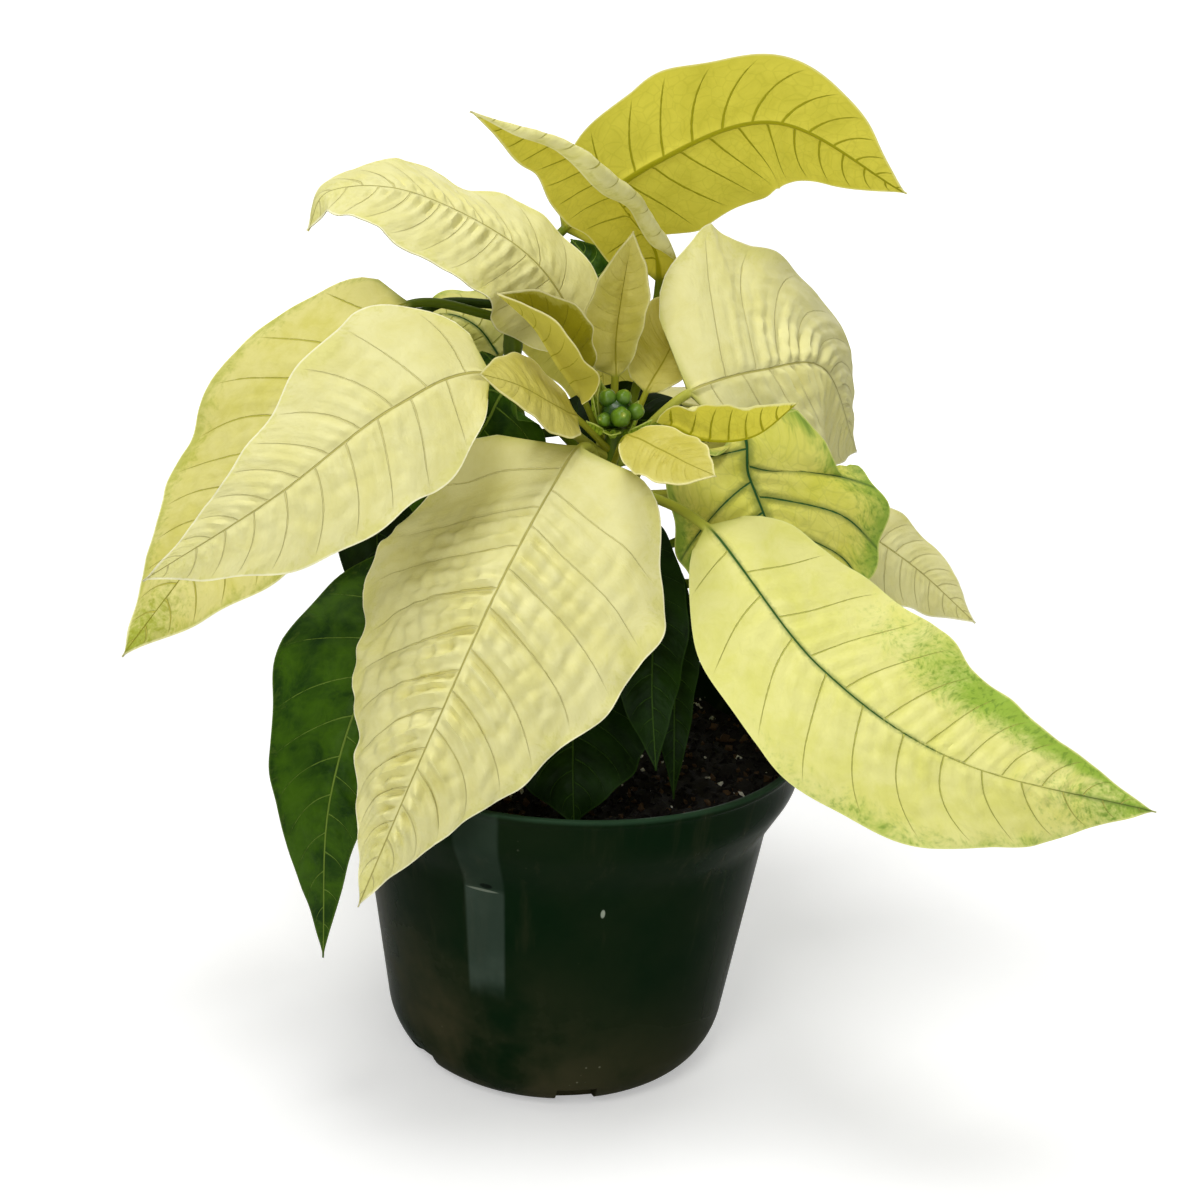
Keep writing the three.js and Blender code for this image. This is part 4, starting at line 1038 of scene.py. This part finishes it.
# marks on the pot's side: (azimuth in degrees, mm up), (half its width, half its height)
FLECK = ((-77.8, 60.4), (0.6, 1.3))
# the nick's pale arc is a painted highlight on the dent's upper edge
NICK_HIGHLIGHT = ((-109.5, 64.2), (4.4, 0.4))
# the dark in the dent beneath the nick is painted shade
SHADED_DENT = ((-108.3, 65.6), (1.8, 0.8))
# the band of painted highlight, a pale reflection painted into the colour: its azimuth in degrees, then how
# far its edge lies from that in radians, and the metres up where it begins and ends
HIGHLIGHT_BAND_TURN = -109
HIGHLIGHT_BAND_EDGE = (0.085, 0.105)
HIGHLIGHT_BAND_FOOT = (0.033, 0.041)
HIGHLIGHT_BAND_TOP = (0.0635, 0.0655)
POT_IOR = 1.07                   # low, so that the dark plastic mirrors little
POT_SIDES = 216


def oval(s, turn, height, place, half):
    """1 inside an oval on the pot's side, where (out / half width)^2 + (up / half height)^2 is under 1."""
    azimuth, level = place
    scale = (POT_NECK_RADIUS / half[0], 1 / (MM * half[1]))
    out = s.times(s.minus(turn, math.radians(azimuth)), scale[0])
    up = s.times(s.minus(height, level * MM), scale[1])
    reach = s.plus(s.times(out, out), s.times(up, up))
    return s.span(reach, 0.4, 1.1, 1.0, 0.0)


def pot_material():
    """Near-black green moulded plastic: glossy, with faint drawn streaks, dust and a few pale specks.

    A pale band of painted highlight runs down one side, crossed by a nick: a painted highlight above a dent
    of painted shade. One larger pale fleck lies beside it, and the lip carries a painted highlight.
    """
    material, s, surface = new_material("pot_plastic")
    where = s.place()
    split = s.node("ShaderNodeSeparateXYZ", {0: where}).outputs
    drawn = s.node("ShaderNodeMapping", {"Vector": where, "Scale": (1.0, 1.0, 0.05)}).outputs[0]
    streak = s.span(s.noise(drawn, 170.0, 4.0, 0.6), 0.48, 0.78)
    film = s.span(s.noise(where, 20.0, 5.0, 0.6), 0.36, 0.62)
    grit = s.span(s.cells(where, 330.0, "F1"), 0.04, 0.13, 1.0, 0.0)
    grit = s.times(grit, s.span(s.noise(where, 60.0, 3.0, 0.7), 0.56, 0.68))
    low = s.span(s.plus(split["Z"], s.times(split["X"], 0.5)), 0.0, 0.05, 1.0, 0.1)
    turn = s.math("ARCTAN2", split["Y"], split["X"])
    streak = s.times(streak, s.span(turn, math.radians(-70), math.radians(-35), 0.3, 0.6))
    dust = s.math("MAXIMUM", s.times(film, low), streak)
    ragged = s.plus(split["Z"], s.times(film, 0.004))
    # a pale upright band of painted highlight, ragged at its foot and fainter above its top
    aside = s.math("ABSOLUTE", s.minus(turn, math.radians(HIGHLIGHT_BAND_TURN)))
    highlight_band = s.span(aside, *HIGHLIGHT_BAND_EDGE, 1.0, 0.0)
    highlight_band = s.times(highlight_band, s.span(ragged, *HIGHLIGHT_BAND_FOOT))
    highlight_band = s.times(highlight_band, s.span(split["Z"], *HIGHLIGHT_BAND_TOP, 1.0, 0.4))
    highlight_band = s.times(highlight_band, s.plus(0.5, s.times(film, 0.45)))
    colour = s.mix(s.times(dust, 0.8), srgb(9, 29, 11), srgb(66, 62, 42))
    colour = s.mix(highlight_band, colour, srgb(66, 80, 70))
    fleck = oval(s, turn, split["Z"], *FLECK)
    # the nick: a pale arc of painted highlight above a dent darkened with painted shade
    nick_highlight = oval(s, turn, split["Z"], *NICK_HIGHLIGHT)
    shaded_dent = oval(s, turn, split["Z"], *SHADED_DENT)
    colour = s.mix(s.times(shaded_dent, 0.8), colour, srgb(4, 12, 6))
    colour = s.mix(s.math("MAXIMUM", fleck, s.times(nick_highlight, 0.45)), colour, srgb(146, 156, 138))
    # a painted highlight along the top of the lip
    rim = s.span(split["Z"], POT_HEIGHT * MM - 0.0012, POT_HEIGHT * MM - 0.0002)
    colour = s.mix(s.times(rim, 0.7), colour, srgb(44, 68, 48))
    colour = s.mix(s.times(grit, 0.6), colour, srgb(140, 140, 118))
    s.feed(surface["Base Color"], colour)
    s.feed(surface["Roughness"], s.plus(0.22, s.times(dust, 0.22)))
    ripples = s.noise(drawn, 230.0, 2.0)
    relief = s.plus(s.times(ripples, 0.6), s.minus(grit, shaded_dent))
    s.feed(surface["Normal"], s.bump(relief, 0.1 * MM, 0.35))
    surface["IOR"].default_value = POT_IOR
    return material


def build_pot():
    """The pot's closed profile turned round its axis, with the drainage notches cut from its corner."""
    band_foot = POT_HEIGHT - POT_BAND_HEIGHT
    neck = band_foot - POT_SHOULDER_HEIGHT
    outer = rounded([
        (POT_BASE_RADIUS - POT_CORNER, 0), (POT_BASE_RADIUS - 0.3 * POT_CORNER, 0.3 * POT_CORNER),
        (POT_BASE_RADIUS + 0.6, POT_CORNER), (POT_NECK_RADIUS, neck), (POT_BAND_RADIUS, band_foot),
        (POT_RIM_RADIUS - 0.5, POT_HEIGHT - 2.2), (POT_RIM_RADIUS, POT_HEIGHT - 1.5),
        (POT_RIM_RADIUS, POT_HEIGHT - 0.1), (POT_RIM_RADIUS - 0.9, POT_HEIGHT),
    ], 3.2, 7)
    inner = rounded([
        (POT_RIM_RADIUS - 0.9, POT_HEIGHT), (POT_RIM_RADIUS - 1.9, POT_HEIGHT - 0.2),
        (POT_BAND_RADIUS - POT_WALL, band_foot + 0.4), (POT_NECK_RADIUS - POT_WALL, neck + 0.4),
        (POT_BASE_RADIUS + 0.6 - POT_WALL, POT_CORNER),
        (POT_BASE_RADIUS - 0.4 * POT_CORNER - POT_WALL, POT_WALL + 0.4 * POT_CORNER),
        (POT_BASE_RADIUS - POT_CORNER, POT_WALL),
    ], 3.0, 4)
    profile = np.vstack([[(0.01, 0)], outer, inner[1:], [(0.01, POT_WALL)]])
    skin, faces = turned(*profile.T, POT_SIDES), capped(len(profile), POT_SIDES)
    pot = make_mesh("nursery_pot", skin, faces, pot_material(), sharp=40)
    cut_notches(pot)
    settle(pot, "pot_plastic", "pot")


def cut_notches(pot):
    """Takes a ring of square bars out of the pot's bottom corner and applies the cut."""
    corners, faces = [], []
    base = np.array([(x, y, z) for x in (-1, 1) for y in (-1, 1) for z in (-1, 1)], float)
    base *= (NOTCH_REACH, NOTCH_WIDTH / 2, NOTCH_HEIGHT)
    quads = np.array([(0, 1, 3, 2), (4, 6, 7, 5), (0, 4, 5, 1), (2, 3, 7, 6), (0, 2, 6, 4), (1, 5, 7, 3)])
    for i in range(NOTCH_COUNT):
        turn = math.radians(NOTCH_TURN + 360 / NOTCH_COUNT * i)
        cosine, sine = math.cos(turn), math.sin(turn)
        spin = np.array([(cosine, sine, 0), (-sine, cosine, 0), (0, 0, 1)])
        corners.append((base + (POT_BASE_RADIUS, 0, 0)) @ spin)
        faces.append(quads + 8 * i)
    bars = make_mesh("notch_bars", np.vstack(corners), faces, pot.data.materials[0])
    cut = pot.modifiers.new("notches", "BOOLEAN")
    cut.operation = "DIFFERENCE"
    cut.object = bars
    bpy.context.view_layer.update()
    finished = bpy.data.meshes.new_from_object(pot.evaluated_get(bpy.context.evaluated_depsgraph_get()))
    pot.modifiers.remove(cut)
    pot.data = finished
    bpy.data.objects.remove(bars)
    pot.data.shade_smooth()
    pot.data.set_sharp_from_angle(angle=math.radians(40))


# ---- soil -------------------------------------------------------------------------------------

GRAIN_COUNT = 2600
GRAIN_KINDS = (0.78, 0.17, 0.05)     # shares of peat crumbs, bark chips and perlite
GRAIN_SIZES = (1.0, 1.25, 0.75)      # their sizes, against each other
GRAIN_REACH = (0.35, 1.25)
SOIL_RADIUS = POT_BAND_RADIUS - POT_WALL - 0.9
SOIL_RINGS, SOIL_SIDES = 60, 150


def soil_material():
    """Near-black peat with brown bark and white perlite, told apart by the attribute kind."""
    material, s, surface = new_material("potting_mix")
    where = s.place()
    kind = s.attribute("kind")
    fine = s.noise(where, 900.0, 5.0, 0.7)
    peat = s.mix(fine, srgb(4, 3, 3), srgb(26, 20, 15))
    bark = s.mix(fine, srgb(34, 22, 13), srgb(92, 68, 42))
    stone = s.mix(fine, srgb(170, 166, 150), srgb(232, 230, 220))
    colour = s.mix(s.span(kind, 0.4, 0.6), peat, bark)
    s.feed(surface["Base Color"], s.mix(s.span(kind, 1.4, 1.6), colour, stone))
    s.feed(surface["Roughness"], s.minus(0.98, s.times(fine, 0.15)))
    s.feed(surface["Normal"], s.bump(fine, 0.6 * MM))
    surface["Specular IOR Level"].default_value = 0.25
    return material


def soil_height(x, y):
    """Height of the surface: SOIL_TOP - 0.3 + 0.8 swell + 0.7 lumps (9 mm) + 0.35 crumbs (3.2 mm)."""
    swell = np.sin(0.31 * x + 1.3) * np.cos(0.27 * y) + 0.6 * np.sin(0.74 * x - 0.61 * y)
    return SOIL_TOP - 0.3 + 0.8 * swell + 0.7 * ripple(x, y, 9, 71) + 0.35 * ripple(x, y, 3.2, 72)


def crumbs(rng):
    """Many small eight-sided lumps, turned and stretched at random, half sunk in the surface.

    They lie at r = reach sqrt(u), with u drawn evenly, so that they cover it evenly.
    """
    base = np.array([(1, 0, 0), (-1, 0, 0), (0, 1, 0), (0, -1, 0), (0, 0, 1), (0, 0, -1)], float)
    sides = [(0, 2, 4), (2, 1, 4), (1, 3, 4), (3, 0, 4), (2, 0, 5), (1, 2, 5), (3, 1, 5), (0, 3, 5)]
    reach = (POT_RIM_RADIUS - 5) * np.sqrt(rng.uniform(0.012, 1, GRAIN_COUNT))
    angle = rng.uniform(0, TURN, GRAIN_COUNT)
    x, y = reach * np.cos(angle), reach * np.sin(angle)
    kind = rng.choice(3, GRAIN_COUNT, p=GRAIN_KINDS)
    size = rng.uniform(*GRAIN_REACH, GRAIN_COUNT) * np.array(GRAIN_SIZES)[kind]
    stretch = size[:, None] * rng.uniform(0.5, 1.35, (GRAIN_COUNT, 3))
    frames = np.linalg.qr(rng.normal(size=(GRAIN_COUNT, 3, 3)))[0]
    frames *= np.sign(np.linalg.det(frames))[:, None, None]
    lumps = (base[None] * stretch[:, None]) @ frames
    centre = np.stack([x, y, soil_height(x, y) + 0.15 * size], -1)
    points = (lumps + centre[:, None]).reshape(-1, 3)
    faces = (np.array(sides)[None] + 6 * np.arange(GRAIN_COUNT)[:, None, None]).reshape(-1, 3)
    return points, [faces], np.repeat(kind.astype(float), 6)


def build_soil():
    """A shallow closed plate with a crumbled top, and the loose crumbs on it."""
    rng = np.random.default_rng(7)
    profile = np.array([*np.linspace(0.05, SOIL_RADIUS, SOIL_RINGS), SOIL_RADIUS - 0.5, 0.05])
    points = turned(profile, 0 * profile + SOIL_TOP - 3, SOIL_SIDES)
    top = points[:SOIL_RINGS * SOIL_SIDES]
    top[:, 2] = soil_height(top[:, 0], top[:, 1])
    faces = [np.asarray(part)[:, ::-1] for part in capped(len(profile), SOIL_SIDES)]
    points, faces, kind = joined([(points, faces, 0.0), crumbs(rng)])
    piece = make_mesh("potting_mix", points, faces, soil_material(), {"kind": kind}, sharp=35)
    settle(piece, "soil", "soil")


# ---- stage ------------------------------------------------------------------------------------

VIEW_DISTANCE = 0.42             # in metres, like all else on the stage
VIEW_TARGET = np.array((0.0059, 0.0, 0.1204))
VIEW_HEIGHT = math.radians(18.2)
VIEW_ROLL = math.radians(3.4)
IMAGE_WIDTH = 1200               # the image's width in pixels
FOCAL_PIXELS = 1684
SENSOR_WIDTH = 36
STAGE_GLOW = 0.38
STAGE_RADIUS, STAGE_BEND, STAGE_WALL = 1.5, 0.8, 2.2


def add_object(name, data, place, right, up, back):
    """Links a camera or lamp that stands at place and looks away from back."""
    thing = bpy.data.objects.new(name, data)
    turn = np.stack([right, up, back], 1)
    thing.matrix_world = Matrix([[*row, p] for row, p in zip(turn, place)] + [[0, 0, 0, 1]])
    bpy.context.scene.collection.objects.link(thing)
    return thing


def build_camera():
    """The camera looks along the plant's front, from a little above, rolled slightly."""
    back = np.array((0, -math.cos(VIEW_HEIGHT), math.sin(VIEW_HEIGHT)))
    level = np.array((1.0, 0, 0))
    rise = np.cross(back, level)
    right = math.cos(VIEW_ROLL) * level + math.sin(VIEW_ROLL) * rise
    up = np.cross(back, right)
    place = VIEW_TARGET + back * VIEW_DISTANCE
    data = bpy.data.cameras.new("camera")
    data.sensor_width = SENSOR_WIDTH
    data.lens = FOCAL_PIXELS / IMAGE_WIDTH * SENSOR_WIDTH
    data.clip_start = 0.01
    bpy.context.scene.camera = add_object("camera", data, place, right, up, back)


# each lamp's place, its width and height, its watts and its colour
LAMPS = {
    "window": ((-0.25, -0.75, 0.85), (0.35, 0.35), 3.1, (1.0, 0.995, 0.98)),
    "sky": ((-0.14, -0.1, 1.25), (0.45, 0.45), 6.2, (1, 1, 1)),
    "fill": ((0.1, -1.15, 0.25), (0.9, 0.6), 2.0, (1, 1, 1)),
    "rear": ((0.35, 0.95, 0.6), (0.9, 0.7), 3.0, (1, 1, 1)),
}
LAMP_AIM = (0, 0, 0.14)
AMBIENT = 0.3


def add_softbox(name, place, size, power, colour):
    """A flat lamp that faces the plant's middle."""
    data = bpy.data.lights.new(name, "AREA")
    data.shape = "RECTANGLE"
    data.size, data.size_y = size
    data.energy = power
    data.color = colour
    back = unit(np.subtract(place, LAMP_AIM))
    right = unit(np.cross((0, 0, 1.0), back))
    add_object(name, data, place, right, np.cross(back, right), back)


def stage_material():
    """Matt white paper, which shines a little where the camera looks at it, more so further out."""
    material, s, surface = new_material("paper_stage")
    where = s.place()
    tone = s.noise(where, 300.0, 3.0)
    s.feed(surface["Base Color"], s.mix(tone, (0.80, 0.80, 0.79), (0.84, 0.84, 0.83)))
    surface["Roughness"].default_value = 0.9
    surface["Specular IOR Level"].default_value = 0.1
    surface["Emission Color"].default_value = (1, 1, 1, 1)
    seen = s.node("ShaderNodeLightPath").outputs["Is Camera Ray"]
    far = s.node("ShaderNodeVectorMath", {0: where}, operation="LENGTH").outputs["Value"]
    away = s.span(far, 0.3, 1.2, 1.0, 2.6)
    s.feed(surface["Emission Strength"], s.times(s.times(seen, STAGE_GLOW), away))
    return material


def build_stage():
    """A pale round floor that curves up into a wall all round: z = 0, then a quarter circle."""
    q, sides = np.linspace(0, math.pi / 2, 24)[1:], 96
    flat = [0.002, *np.linspace(0.1, STAGE_RADIUS, 8)]
    r = [*flat, *(STAGE_RADIUS + STAGE_BEND * np.sin(q)), STAGE_RADIUS + STAGE_BEND]
    z = [*(0 * np.array(flat)), *(STAGE_BEND * (1 - np.cos(q))), STAGE_WALL]
    faces = [grid_faces(len(r), sides, wrap=True)[:, ::-1], [np.arange(sides)]]
    make_mesh("floor", turned(r, z, sides) / MM, faces, stage_material())


def build_light():
    """The lamps, and an even white world round them."""
    for name, values in LAMPS.items():
        add_softbox(name, *values)
    world = bpy.data.worlds.new("studio")
    world.use_nodes = True
    world.node_tree.nodes["Background"].inputs[0].default_value = (1, 1, 1, 1)
    world.node_tree.nodes["Background"].inputs[1].default_value = AMBIENT
    bpy.context.scene.world = world
    bpy.context.scene.view_settings.view_transform = "Standard"


# ---- the whole scene --------------------------------------------------------------------------

build_camera()
build_light()
build_stage()
build_pot()
build_soil()
build_stems()
leaf_materials = build_leaves()
build_flower_head()
build_bractlets(leaf_materials["bractlet"])

bpy.context.view_layer.update()
